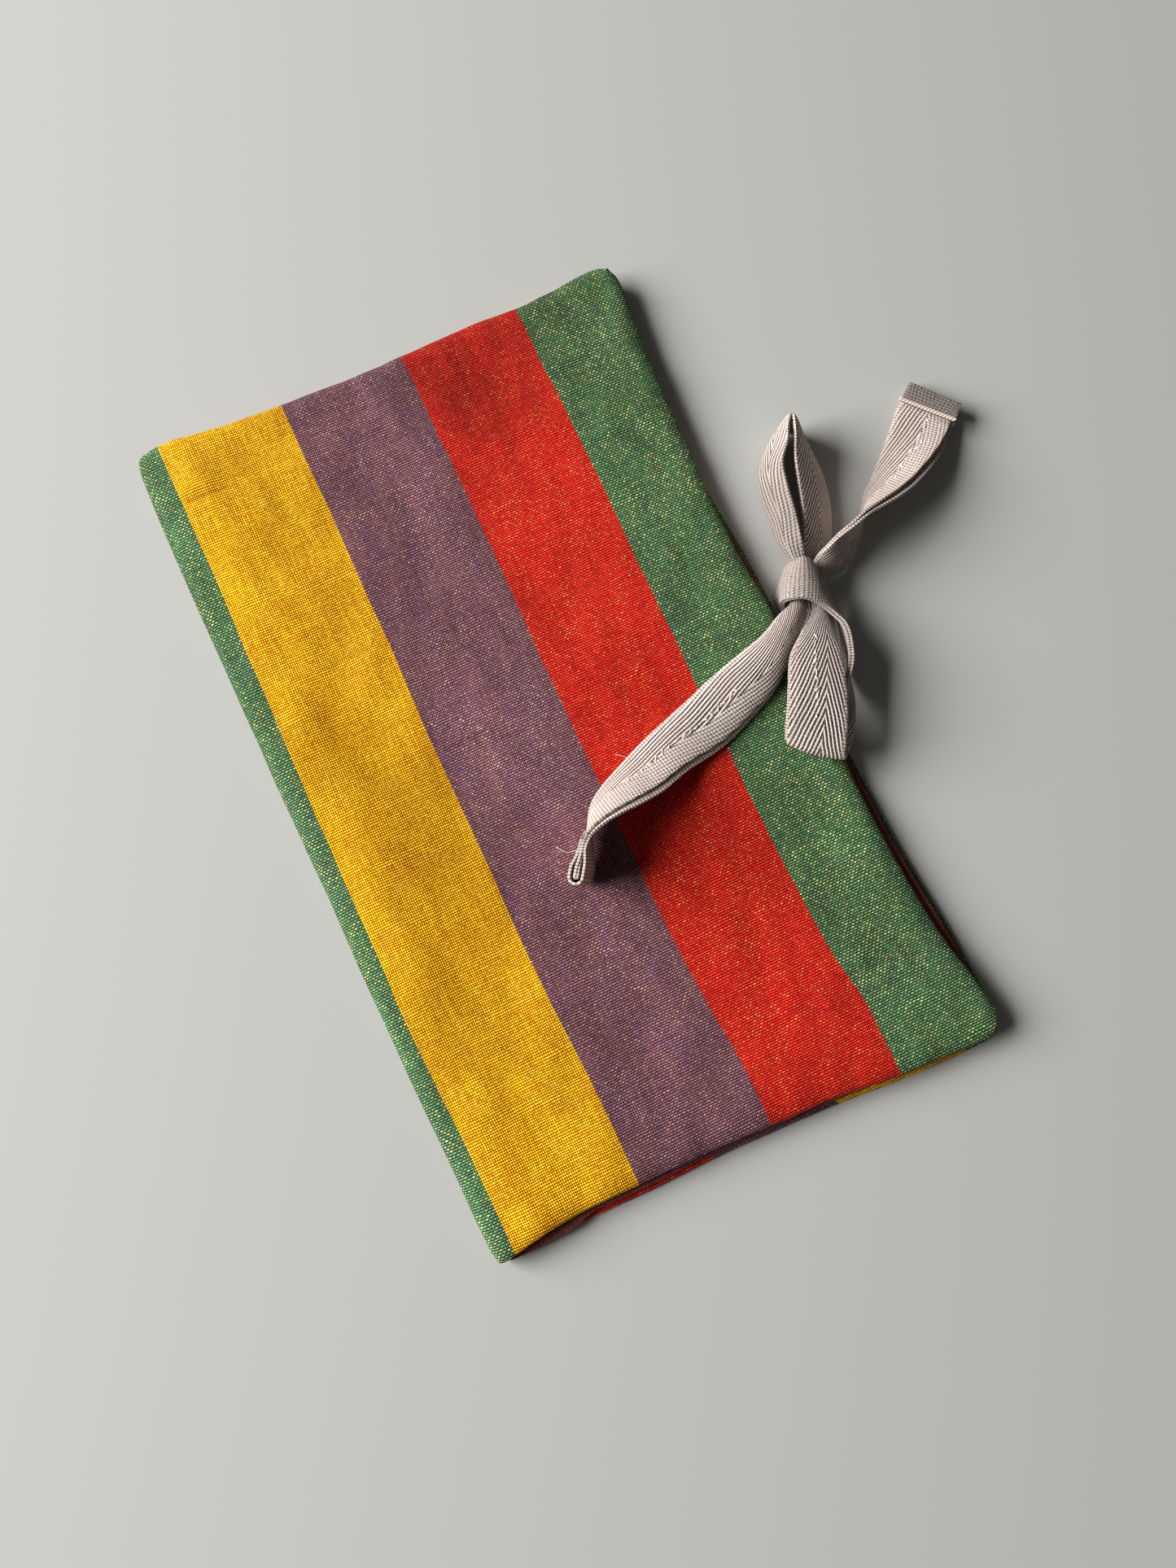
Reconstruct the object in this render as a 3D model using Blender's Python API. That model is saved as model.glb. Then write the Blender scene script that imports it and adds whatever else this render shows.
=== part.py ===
"""A closed pouch of striped cloth, lying on its back leaf and tied shut with a bow.

The pouch is one panel of cloth folded like a book, with a lining folded inside it.
A tape comes out of the seam of each leaf at the middle of the free edge, and the two
are tied together.  X runs across the stripes from the fold to the free edge, Y runs
along the stripes and Z is up.  The origin is the middle of the flat underside.
"""

import math
from collections import namedtuple

import bmesh
import bpy
import numpy as np

MM = 0.001

# Driving sizes in millimetres
LENGTH = 250.0
WIDTH = 152.0
CLOSED_THICKNESS = 7.5
COVER_THICKNESS = 1.6
LINING_THICKNESS = 1.2
CLEARANCE = 0.45
LINING_INSET = 1.8
CORNER_RADIUS = 8.0

# The front leaf's free edges roll down, its free side more than its ends
EDGE_ROLL_WIDTH = 6.0
SIDE_ROLL_DROP = 1.3
END_ROLL_DROP = 0.65

TAPE_WIDTH = 17.0
TAPE_THICKNESS = 1.0
TAPE_GAP = 0.4
TAPE_SHORT_LAYER = 1.6
FRONT_HEM = 9.5
BACK_HEM = 4.5
HEM_RADIUS = 1.4

# Steps of the sheets' grids
COVER_CELL = 14.0
COVER_FOLD_STEPS = 7
LINING_CELL = 18.0
LINING_FOLD_STEPS = 5
EDGE_CELLS = (0.0, 1.8, 3.8, 6.0, 9.5)
TAPE_STEPS = 2
TAPE_LAYER_SHARES = (1.0, 0.64, 0.32)
HEM_TURN_STEPS = 5
HEM_FLAT_STEPS = 3

# Middle heights of the cover's and the lining's leaves
COVER_BACK = COVER_THICKNESS / 2
COVER_FRONT = CLOSED_THICKNESS - COVER_THICKNESS / 2
LINING_BACK = COVER_THICKNESS + CLEARANCE + LINING_THICKNESS / 2
LINING_FRONT = CLOSED_THICKNESS - LINING_BACK
FOLD_INSET = COVER_THICKNESS / 2 + (COVER_FRONT - COVER_BACK) / 2

# A leaf's own edges, as rows of a place along the edge and how far the cloth there lies
# inside the straight nominal edge: its two ends run from the fold to the free side
Leaf = namedtuple("Leaf", "top bottom side")
FRONT_LEAF = Leaf(
    top=((-76, 1.6), (-70, 0.5), (-55, 1.5), (-33, 2.6), (-8, 3.2), (12, 2.7), (28, 2.1), (44, 2.6),
         (58, 1.6), (68, 0.5), (76, 0.0)),
    bottom=((-76, 1.7), (-70, 3.4), (-61, 5.1), (-52, 5.6), (-33, 4.5), (6, 3.8), (45, 0.7),
            (62, -1.6), (76, -3.0)),
    side=((-125, -2.3), (-110, -1.0), (-92, 2.8), (-72, 4.7), (-46, 5.0), (8, 5.2), (32, 5.6),
          (59, 5.4), (98, 3.0), (125, -0.6)),
)
BACK_LEAF = Leaf(
    top=((-76, 1.6), (0, 1.2), (76, 0.0)),
    bottom=((-76, 1.5), (-66, 1.0), (-53, 1.2), (-13, -0.4), (15, -0.9), (30, -2.1), (60, -4.2), (76, -3.8)),
    side=((-125, -2.0), (-93, -0.6), (-71, 1.2), (-44, 2.1), (9, 2.8), (24, 1.6), (60, 4.0), (125, 0.4)),
)
FOLD_EDGE = ((-125, 0.1), (-100, -0.2), (-70, -0.9), (-40, -1.3), (-10, -1.5), (20, -1.9), (50, -2.1),
             (90, -2.3), (125, -2.0))

# Soft dips in the front leaf
Dip = namedtuple("Dip", "x y depth radius")
DIPS = (
    Dip(-52, 92, 0.45, 17),
    Dip(-54, 18, 0.50, 15),
    Dip(-50, -8, 0.35, 12),
    Dip(-15, 60, 0.35, 22),
    Dip(-14, -62, 0.40, 24),
    Dip(22, 30, 0.35, 20),
    Dip(26, -70, 0.35, 22),
    Dip(56, -30, 0.40, 16),
    Dip(52, 70, 0.40, 20),
)

# The bow's own frame: its origin under the knot, and how far it is turned
KNOT = (WIDTH / 2 + 6.9, 10.5)
BOW_TURN = math.radians(25.2)

# Where a tape meets a leaf's side: two places along it, the height, and how far outside it
Seam = namedtuple("Seam", "open_y folded_y up out")
TIE_FRONT_SEAM = Seam(-1.2, -13.0, 4.9, 0.6)
TIE_BACK_SEAM = Seam(3.8, 10.4, 0.8, 1.8)

# The tapes' courses in the bow's frame, as places across, along and up: each row is the
# tape's open edge, its folded edge, and how far its middle bows out
Station = namedtuple("Station", "open_edge folded_edge bow")
TIE_FRONT = tuple(Station(*row) for row in (
    ((-2.8, -10.6, 2.7), (2.8, -16.4, 2.7), 0.0),
    ((-3.6, -1.5, 1.9), (5.2, -4.5, 1.9), 0.0),
    ((-2.8, 5.0, 4.0), (6.0, 3.4, 1.3), 0.8),
    ((-1.0, 10.5, 10.6), (8.4, 10.8, 1.3), 1.6),
    ((-1.3, 18.0, 13.4), (9.6, 19.0, 1.3), 0.6),
    ((-2.2, 27.0, 13.2), (9.2, 27.5, 1.3), 0.6),
    ((-2.8, 36.0, 14.4), (7.2, 37.0, 1.3), 0.8),
    ((-2.4, 43.0, 15.4), (3.6, 44.6, 1.3), 1.0),
    ((-3.9, 47.3, 15.8), (-1.8, 48.4, 1.3), 0.8),
    ((-5.6, 44.6, 16.0), (-7.4, 45.6, 1.3), 1.0),
    ((-7.4, 39.5, 16.3), (-10.4, 40.5, 1.3), 0.8),
    ((-8.9, 33.0, 16.4), (-11.5, 34.2, 1.3), 0.6),
    ((-7.4, 26.0, 16.3), (-10.7, 27.5, 1.3), 0.6),
    ((-4.7, 18.0, 16.2), (-8.0, 19.5, 1.4), 0.6),
    ((-1.9, 11.0, 14.6), (-5.8, 12.0, 2.6), 1.2),
    ((0.3, 5.5, 8.8), (-3.2, 6.0, 5.6), 1.3),
    ((0.2, -1.5, 7.4), (-4.0, -1.5, 5.8), 1.6),
    ((0.4, -6.6, 7.8), (-4.3, -7.4, 7.4), 2.0),
    ((0.0, -9.6, 8.6), (-7.8, -10.8, 9.4), 2.4),
    ((-2.4, -16.0, 9.4), (-11.9, -15.9, 10.4), 2.6),
    ((-9.6, -32.2, 9.5), (-18.6, -21.8, 9.6), 1.6),
    ((-16.2, -40.4, 9.3), (-27.0, -28.9, 9.2), 0.8),
    ((-24.3, -48.7, 9.5), (-35.7, -37.2, 9.2), 0.6),
    ((-35.9, -57.0, 13.0), (-44.4, -45.3, 9.3), 0.4),
    ((-43.4, -63.3, 17.2), (-50.9, -51.9, 9.3), 0.2),
    ((-49.7, -67.1, 20.6), (-55.2, -56.8, 9.3), 0.2),
    ((-54.8, -69.8, 22.8), (-59.0, -61.4, 9.4), 0.0),
    ((-59.3, -72.6, 24.1), (-61.6, -66.0, 9.4), 0.0),
    ((-63.0, -75.8, 24.9), (-62.4, -71.0, 9.4), 0.0),
    ((-64.7, -79.6, 25.2), (-61.9, -77.0, 9.4), 0.0),
    ((-65.0, -84.0, 25.2), (-61.5, -82.8, 9.4), 0.0),
    ((-65.6, -87.6, 25.1), (-62.2, -86.8, 9.4), 0.0),
))
TIE_BACK = tuple(Station(*row) for row in (
    ((-5.4, -7.4, 3.2), (-6.2, 0.2, 3.6), -0.2),
    ((-6.6, -6.7, 8.0), (-5.6, 4.6, 7.7), -0.6),
    ((-5.0, -6.8, 11.9), (-3.6, 5.0, 11.5), -1.0),
    ((-1.8, -6.8, 13.0), (-1.0, 5.5, 12.4), -1.0),
    ((1.8, -7.5, 12.8), (2.8, 4.9, 11.4), -1.0),
    ((5.0, -8.6, 12.2), (6.9, 2.2, 9.2), -0.8),
    ((7.9, -10.6, 11.8), (9.9, -3.2, 4.8), -0.5),
    ((10.2, -14.2, 12.2), (11.0, -9.8, 1.4), 0.0),
    ((11.3, -19.8, 13.2), (12.0, -17.8, 1.3), 0.0),
    ((10.8, -27.3, 13.6), (13.5, -26.8, 1.4), 0.0),
    ((7.6, -34.4, 11.9), (14.3, -34.0, 3.0), 0.0),
    ((-0.5, -41.2, 10.0), (13.2, -42.0, 7.0), 0.0),
    ((-6.6, -45.6, 9.5), (10.8, -49.8, 9.2), 0.0),
    ((-7.6, -48.2, 11.3), (9.6, -53.3, 10.9), 0.0),
    ((-8.0, -46.4, 13.6), (8.9, -51.2, 12.9), 0.0),
    ((-7.5, -39.1, 15.0), (9.4, -42.5, 14.2), 0.4),
    ((-7.1, -32.6, 15.2), (9.3, -34.0, 14.6), 0.6),
    ((-6.1, -23.8, 14.4), (8.2, -23.6, 14.0), 0.8),
    ((-2.4, -16.8, 12.2), (6.6, -15.8, 11.6), 1.0),
    ((1.6, -10.0, 8.6), (6.0, -9.6, 8.2), 1.0),
    ((1.5, -1.5, 7.0), (5.6, -1.5, 4.8), 1.2),
    ((2.7, 5.8, 9.4), (7.2, 2.6, 3.7), 1.6),
    ((5.5, 8.4, 14.2), (14.2, 6.8, 1.4), 0.8),
    ((8.9, 11.6, 15.6), (16.6, 12.2, 1.3), 0.4),
    ((12.4, 14.3, 16.4), (18.0, 16.8, 1.3), 0.2),
    ((15.8, 17.2, 16.7), (18.9, 21.4, 1.3), 0.0),
    ((20.9, 20.6, 15.7), (20.4, 29.0, 1.3), 0.0),
    ((26.4, 24.3, 14.4), (22.6, 33.7, 1.3), 0.0),
    ((31.6, 28.6, 12.6), (24.5, 38.4, 1.3), 0.0),
    ((36.9, 34.4, 10.6), (26.4, 43.1, 1.3), 0.0),
    ((42.4, 41.6, 7.4), (28.6, 48.9, 1.3), 0.0),
    ((46.6, 49.0, 4.4), (31.4, 56.6, 1.3), 0.0),
    ((49.2, 55.4, 3.2), (34.6, 63.0, 1.3), 0.0),
))


def clear_scene():
    for item in list(bpy.data.objects):
        bpy.data.objects.remove(item, do_unlink=True)


def cloth_material(name, colour, roughness):
    material = bpy.data.materials.new(name)
    material.use_nodes = True
    shader = material.node_tree.nodes["Principled BSDF"]
    shader.inputs["Base Color"].default_value = (*colour, 1.0)
    shader.inputs["Roughness"].default_value = roughness
    shader.inputs["Metallic"].default_value = 0.0
    return material


def smooth_curve(table, at):
    """Read a smooth curve through the table's rows, each a place and its value."""
    places = np.array([row[0] for row in table], float)
    values = np.array([row[1] for row in table], float)
    slopes = np.gradient(values, places, axis=0)
    at = np.clip(np.asarray(at, float), places[0], places[-1])
    low = np.clip(np.searchsorted(places, at) - 1, 0, len(places) - 2)
    step = places[low + 1] - places[low]
    part = (at - places[low]) / step
    if values.ndim > 1:
        step = step[:, None]
        part = part[:, None]
    start = values[low] * (1 + 2 * part) * (1 - part) ** 2
    end = values[low + 1] * part ** 2 * (3 - 2 * part)
    return start + end + step * part * (1 - part) * (slopes[low] * (1 - part) - slopes[low + 1] * part)


def sheet_object(name, points, thickness, material):
    """Lay a grid of cloth over rows of points in millimetres and give it its thickness."""
    rows, columns = points.shape[:2]
    mesh = bpy.data.meshes.new(name)
    grid = bmesh.new()
    bmesh.ops.create_grid(grid, x_segments=rows - 1, y_segments=columns - 1, size=1.0)
    for vertex in grid.verts:
        row = round((vertex.co.x + 1) / 2 * (rows - 1))
        column = round((vertex.co.y + 1) / 2 * (columns - 1))
        vertex.co = points[row, column] * MM
    bmesh.ops.recalc_face_normals(grid, faces=grid.faces)
    grid.to_mesh(mesh)
    grid.free()
    mesh.materials.append(material)
    mesh.shade_smooth()
    piece = bpy.data.objects.new(name, mesh)
    bpy.context.scene.collection.objects.link(piece)
    wall = piece.modifiers.new("Thickness", "SOLIDIFY")
    wall.thickness = thickness * MM
    wall.offset = 0.0
    wall.use_even_offset = True
    return piece


def leaf_side(leaf, y):
    return WIDTH / 2 - smooth_curve(leaf.side, y)


def leaf_top(leaf, x):
    return LENGTH / 2 - smooth_curve(leaf.top, x)


def leaf_bottom(leaf, x):
    return smooth_curve(leaf.bottom, x) - LENGTH / 2


def leaf_places(x, y, inset, leaf):
    """Fit nominal places to a leaf's own edges, with its free corners rounded."""
    corner_x = WIDTH / 2 - CORNER_RADIUS
    corner_y = LENGTH / 2 - CORNER_RADIUS
    past_x = x - corner_x
    past_y = np.abs(y) - corner_y
    in_corner = (past_x > 0) & (past_y > 0)
    reach = np.where(in_corner, np.hypot(past_x, past_y), 1.0)
    shrink = np.where(in_corner, np.maximum(past_x, past_y) / reach, 1.0)
    x = np.where(in_corner, corner_x + past_x * shrink, x)
    y = np.where(in_corner, np.sign(y) * (corner_y + past_y * shrink), y)
    fold_x = smooth_curve(FOLD_EDGE, y) - WIDTH / 2 + FOLD_INSET
    fold_start = FOLD_INSET - WIDTH / 2
    across = (x - fold_start) / (WIDTH / 2 - fold_start)
    along = y / LENGTH + 0.5
    top_y = leaf_top(leaf, x) - inset
    bottom_y = leaf_bottom(leaf, x) + inset
    leaf_x = fold_x + across * (leaf_side(leaf, y) - inset - fold_x)
    return leaf_x, bottom_y + along * (top_y - bottom_y)


def front_height(x, y, middle):
    """Height of a front layer: its dips, and the roll of its three free edges."""
    height = np.full_like(x, middle)
    for dip in DIPS:
        height -= dip.depth * np.exp(-((x - dip.x) ** 2 + (y - dip.y) ** 2) / dip.radius ** 2)
    to_side = leaf_side(FRONT_LEAF, y) - x
    to_end = np.minimum(leaf_top(FRONT_LEAF, x) - y, y - leaf_bottom(FRONT_LEAF, x))
    side_roll = SIDE_ROLL_DROP * np.clip(1 - to_side / EDGE_ROLL_WIDTH, 0, 1) ** 2
    end_roll = END_ROLL_DROP * np.clip(1 - to_end / EDGE_ROLL_WIDTH, 0, 1) ** 2
    return height - np.maximum(side_roll, end_roll)


def folded_sheet(inset, back_middle, front_middle, fold_steps, cell):
    """Points of a sheet folded like a book: back leaf, fold, then front leaf."""
    edge_cells = np.array(EDGE_CELLS)
    fold_start = FOLD_INSET - WIDTH / 2
    inner_x = WIDTH / 2 - edge_cells[-1]
    inner_y = LENGTH / 2 - edge_cells[-1]
    cells_across = round((inner_x - fold_start) / cell)
    cells_along = round(2 * inner_y / cell)
    leaf_x = np.concatenate([np.linspace(fold_start, inner_x, cells_across + 1)[:-1],
                             WIDTH / 2 - edge_cells[::-1]])
    leaf_y = np.concatenate([edge_cells[:-1] - LENGTH / 2,
                             np.linspace(-inner_y, inner_y, cells_along + 1),
                             LENGTH / 2 - edge_cells[-2::-1]])
    x, y = np.meshgrid(leaf_x, leaf_y, indexing="ij")
    back_x, back_y = leaf_places(x, y, inset, BACK_LEAF)
    back = np.stack([back_x, back_y, np.full_like(x, back_middle)], axis=-1)
    front_x, front_y = leaf_places(x, y, inset, FRONT_LEAF)
    front = np.stack([front_x, front_y, front_height(front_x, front_y, front_middle)], axis=-1)
    radius = (front[0, :, 2] - back[0, :, 2]) / 2
    fold = []
    for step in range(1, fold_steps):
        turn = math.pi * step / fold_steps
        line = back[0] + (front[0] - back[0]) * step / fold_steps
        line[:, 0] -= radius * math.sin(turn)
        line[:, 2] = back[0, :, 2] + radius * (1 - math.cos(turn))
        fold.append(line)
    return np.concatenate([back[::-1], np.array(fold), front])


def from_knot(place):
    """Turn a place in the bow's frame into the pouch's frame."""
    across, along, up = place
    x = KNOT[0] + across * math.cos(BOW_TURN) + along * math.sin(BOW_TURN)
    y = KNOT[1] - across * math.sin(BOW_TURN) + along * math.cos(BOW_TURN)
    return np.array([x, y, up])


def seam_station(leaf, seam):
    """The row where a tape meets a leaf's side."""
    open_x, folded_x = leaf_side(leaf, np.array([seam.open_y, seam.folded_y])) + seam.out
    open_edge = np.array([open_x, seam.open_y, seam.up])
    folded_edge = np.array([folded_x, seam.folded_y, seam.up])
    return Station(open_edge, folded_edge, 0.0)


def tape_course(seam_row, stations):
    """Steps along a tape between its stations: its open edge, its folded edge and its bow."""
    laid = [seam_row] + [Station(from_knot(row.open_edge), from_knot(row.folded_edge), row.bow)
                         for row in stations]
    values = np.array([np.concatenate([row.open_edge, row.folded_edge, [row.bow]]) for row in laid])
    middles = (values[:, 0:3] + values[:, 3:6]) / 2
    run = np.concatenate([[0], np.cumsum(np.linalg.norm(np.diff(middles, axis=0), axis=1))])
    steps = np.arange((len(run) - 1) * TAPE_STEPS + 1) / TAPE_STEPS
    course = smooth_curve(list(zip(run, values)), np.interp(steps, np.arange(len(run)), run))
    return course[:, 0:3], course[:, 3:6], course[:, 6]


def unit(vectors):
    return vectors / np.linalg.norm(vectors, axis=-1, keepdims=True)


def tape_section(short_side):
    """A lengthwise fold's section: shares of the tape's width, and distances from its middle."""
    half_gap = (TAPE_THICKNESS + TAPE_GAP) / 2
    fold_share = half_gap / TAPE_WIDTH
    section = []
    for side in (1, -1):
        open_share = 1 - (TAPE_SHORT_LAYER / TAPE_WIDTH if side == short_side else 0)
        layer = [(share * open_share, side * half_gap) for share in TAPE_LAYER_SHARES]
        layer.append((fold_share, side * half_gap))
        layer.append((fold_share * (1 - math.cos(math.pi / 6)), side * half_gap / 2))
        section += layer if side > 0 else layer[::-1]
    return section


def folded_tape(seam_row, stations, hem_side, hem_length):
    """Points of a tape folded lengthwise, with its end folded back as a hem."""
    open_edge, folded_edge, bow = tape_course(seam_row, stations)
    middle = (open_edge + folded_edge) / 2
    half = (open_edge - folded_edge) / 2
    along = unit(np.gradient(middle, axis=0))
    face = unit(np.cross(along, half))

    turns = np.linspace(0, math.pi, HEM_TURN_STEPS + 1)[1:-1, None]
    turn_middle = middle[-1] + HEM_RADIUS * (along[-1] * np.sin(turns)
                                             + face[-1] * hem_side * (1 - np.cos(turns)))
    turn_face = face[-1] * np.cos(turns) - along[-1] * hem_side * np.sin(turns)
    turn_half = np.repeat(half[-1:], len(turns), axis=0)

    from_end = np.concatenate([[0], np.cumsum(np.linalg.norm(np.diff(middle[::-1], axis=0), axis=1))])
    returned = np.linspace(0, hem_length, HEM_FLAT_STEPS + 1)

    def read_back(values):
        return np.stack([np.interp(returned, from_end, line) for line in values[::-1].T], axis=-1)

    hem_face = unit(read_back(face))
    hem_middle = read_back(middle) + hem_face * hem_side * 2 * HEM_RADIUS
    middle = np.concatenate([middle, turn_middle, hem_middle])
    face = np.concatenate([face, turn_face, -hem_face])
    half = np.concatenate([half, turn_half, read_back(half)])
    bow = np.concatenate([bow, np.zeros(len(middle) - len(bow))])

    columns = []
    for share, offset in tape_section(hem_side):
        across = 2 * share - 1
        columns.append(middle + half * across + face * (offset + bow[:, None] * (1 - across ** 2)))
    return np.stack(columns, axis=1)


def build():
    clear_scene()
    canvas = cloth_material("striped_canvas", (0.80, 0.45, 0.03), 0.9)
    plum = cloth_material("plum_lining", (0.09, 0.02, 0.03), 0.9)
    twill = cloth_material("twill_tape", (0.55, 0.48, 0.43), 0.85)
    cover = folded_sheet(0.0, COVER_BACK, COVER_FRONT, COVER_FOLD_STEPS, COVER_CELL)
    lining = folded_sheet(LINING_INSET, LINING_BACK, LINING_FRONT, LINING_FOLD_STEPS, LINING_CELL)
    tie_front = folded_tape(seam_station(FRONT_LEAF, TIE_FRONT_SEAM), TIE_FRONT, 1, FRONT_HEM)
    tie_back = folded_tape(seam_station(BACK_LEAF, TIE_BACK_SEAM), TIE_BACK, -1, BACK_HEM)
    sheet_object("outer_cover", cover, COVER_THICKNESS, canvas)
    sheet_object("lining", lining, LINING_THICKNESS, plum)
    sheet_object("tie_front", tie_front, TAPE_THICKNESS, twill)
    sheet_object("tie_back", tie_back, TAPE_THICKNESS, twill)


build()
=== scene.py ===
"""Looks of a closed cloth pouch: striped cover, plum lining, a bow of twill tape, a plain stage.

Measures are in millimetres, unless a comment says otherwise, in the pouch's own frame: X runs
across the stripes from the fold to the free edge, Y runs along the stripes and Z is up.
"""

import math
from collections import namedtuple
from functools import partialmethod

import bmesh
import bpy
import numpy as np
from bpy.props import FloatProperty, FloatVectorProperty, PointerProperty
from mathutils import Euler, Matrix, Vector


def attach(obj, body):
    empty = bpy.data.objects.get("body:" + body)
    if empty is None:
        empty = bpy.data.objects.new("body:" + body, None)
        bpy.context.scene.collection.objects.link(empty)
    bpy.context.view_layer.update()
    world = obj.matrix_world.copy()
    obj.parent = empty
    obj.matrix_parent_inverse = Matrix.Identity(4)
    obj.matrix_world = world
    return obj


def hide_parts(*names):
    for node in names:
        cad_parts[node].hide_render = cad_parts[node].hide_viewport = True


bl_info = {
    "name": "Tied cloth pouch",
    "version": (1, 0, 0),
    "blender": (4, 5, 0),
    "location": "3D View > Sidebar > Pouch",
    "description": "Builds a striped cloth pouch tied shut with a bow, and its stage",
    "category": "Add Mesh",
}

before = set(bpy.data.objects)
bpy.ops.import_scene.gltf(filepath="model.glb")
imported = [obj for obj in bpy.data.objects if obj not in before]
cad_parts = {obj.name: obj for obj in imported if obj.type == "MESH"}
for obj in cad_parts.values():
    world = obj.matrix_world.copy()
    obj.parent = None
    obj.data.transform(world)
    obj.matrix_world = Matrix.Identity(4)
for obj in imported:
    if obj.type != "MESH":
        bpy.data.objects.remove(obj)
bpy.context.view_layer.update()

MM = 0.001
CORNER_RADIUS = 8.0
LINING_CLEARANCE = 0.45
# How much of its inset the lining runs past the back leaf's lower edge beside the fold
LINING_PAST = 0.25

# The front leaf's free edges roll down, its free side more than its ends
EDGE_ROLL_WIDTH = 5.5
EDGE_ROLL_POWER = 2.4
SIDE_ROLL_DROP = 1.5
END_ROLL_DROP = 1.5

# A leaf's own edges, as rows of a place along the edge and how far the cloth there lies
# inside the straight nominal edge: its two ends run from the fold to the free side
Leaf = namedtuple("Leaf", "top bottom side")
FRONT_LEAF = Leaf(
    top=((-76, 1.6), (-70, 0.5), (-55, 1.5), (-33, 2.6), (-8, 3.2), (12, 2.7), (28, 2.1),
         (44, 2.6), (58, 1.6), (68, 0.5), (76, 0.0)),
    bottom=((-76, 1.2), (-70, 2.4), (-61, 3.8), (-52, 4.4), (-30, 4.1), (-10, 3.6), (8, 2.5),
            (26, 1.5), (42, -0.6), (54, -1.4), (66, -2.2), (76, -3.0)),
    side=((-125, -1.1), (-112, 0.5), (-94, 3.9), (-74, 5.6), (-52, 6.2), (-28, 5.4), (8, 5.4),
          (25, 6.5), (42, 6.7), (60, 5.7), (98, 3.6), (125, 0.7)),
)
BACK_LEAF = Leaf(
    top=((-76, 1.6), (0, 1.2), (76, 0.0)),
    bottom=((-76, 1.5), (-66, 1.0), (-53, 1.2), (-28, 0.6), (-10, 0.6), (8, -0.2), (26, -1.2),
            (40, -2.5), (54, -3.5), (66, -3.8), (76, -3.4)),
    side=((-125, -2.0), (-93, -0.6), (-71, 1.2), (-44, 2.1), (9, 2.8), (24, 3.0), (60, 5.2),
          (125, 0.4)),
)
FOLD_EDGE = ((-125, 0.1), (-100, -0.2), (-70, -0.9), (-40, -1.3), (-10, -1.5), (20, -1.9),
             (50, -2.1), (90, -2.3), (125, -2.0))

# The front leaf swells beside the fold: where, how wide and how high
SWELL_X = -64.0
SWELL_WIDTH = 8.5
SWELL_RISE = 1.0

# It stands a little higher away from its edges
PAD_RISE = 0.5
PAD_WIDTH = 20.0

# Low ripples over the whole leaf, and puckers along its free edges
RIPPLE_RISE = 0.15
PUCKER_RISE = 0.10
PUCKER_REACH = 5.0

# Soft dips in the front leaf: where, how deep and how wide
DIPS = (
    (-46, 108, 0.72, 9), (-48, 80, 0.56, 11), (-46, 51, 1.2, 13), (-51, 19, 1.12, 12),
    (-31, -2, 0.8, 10), (-49, -27, 0.64, 11), (-48, -54, 1.2, 13), (-51, -101, 0.96, 11),
    (-17, 88, 1.04, 12), (-14, 57, 0.96, 12), (-28, 24, 0.72, 11), (-20, -26, 0.88, 11),
    (-17, -52, 0.88, 11), (-14, -88, 1.12, 13), (25, 101, 1.45, 12), (11, 70, 0.88, 12),
    (25, 40, 0.96, 13), (36, -4, 0.96, 11), (4, -100, 0.88, 12), (30, -80, 0.72, 13),
    (54, 22, 0.8, 11), (58, 60, 0.88, 13), (54, -98, 0.96, 11), (56, -50, 0.72, 10),
)

# Pressed creases in the front leaf: two ends, depth and half width
CREASES = (
    (-74, 104.2, -54, 105.6, 0.46, 1.3), (-46, 102, -41, 72, 0.22, 2),
    (-64, -86, -40, -98, 0.28, 2.2), (-66, -70, -48, -82, 0.2, 2), (10, 84, 30, 92, 0.2, 2.4),
    (13, 120, 15, 98, 0.26, 1.8), (19, 121, 20, 100, 0.32, 1.8), (26, 121, 26, 96, 0.28, 2),
    (-30, 119, -28, 100, 0.18, 1.8), (-60, 88, -54, 66, 0.26, 2.2), (-52, 70, -49, 46, 0.24, 2.4),
    (40, -52, 66, -66, 0.32, 2.6), (50, -76, 66, -104, 0.4, 2.4), (-24, 8, -2, -2, 0.18, 3),
)

# The bow's own frame: its origin under the knot, and how far it is turned
KNOT = (82.9, 10.5)
BOW_TURN = math.radians(25.2)

# Where a tape meets a leaf's side: two places along it, the height, and how far outside it
Seam = namedtuple("Seam", "open_y folded_y up out")
TIE_FRONT_SEAM = Seam(-1.2, -13.0, 4.9, 0.6)
TIE_BACK_SEAM = Seam(3.8, 10.4, 0.8, 1.8)

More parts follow.
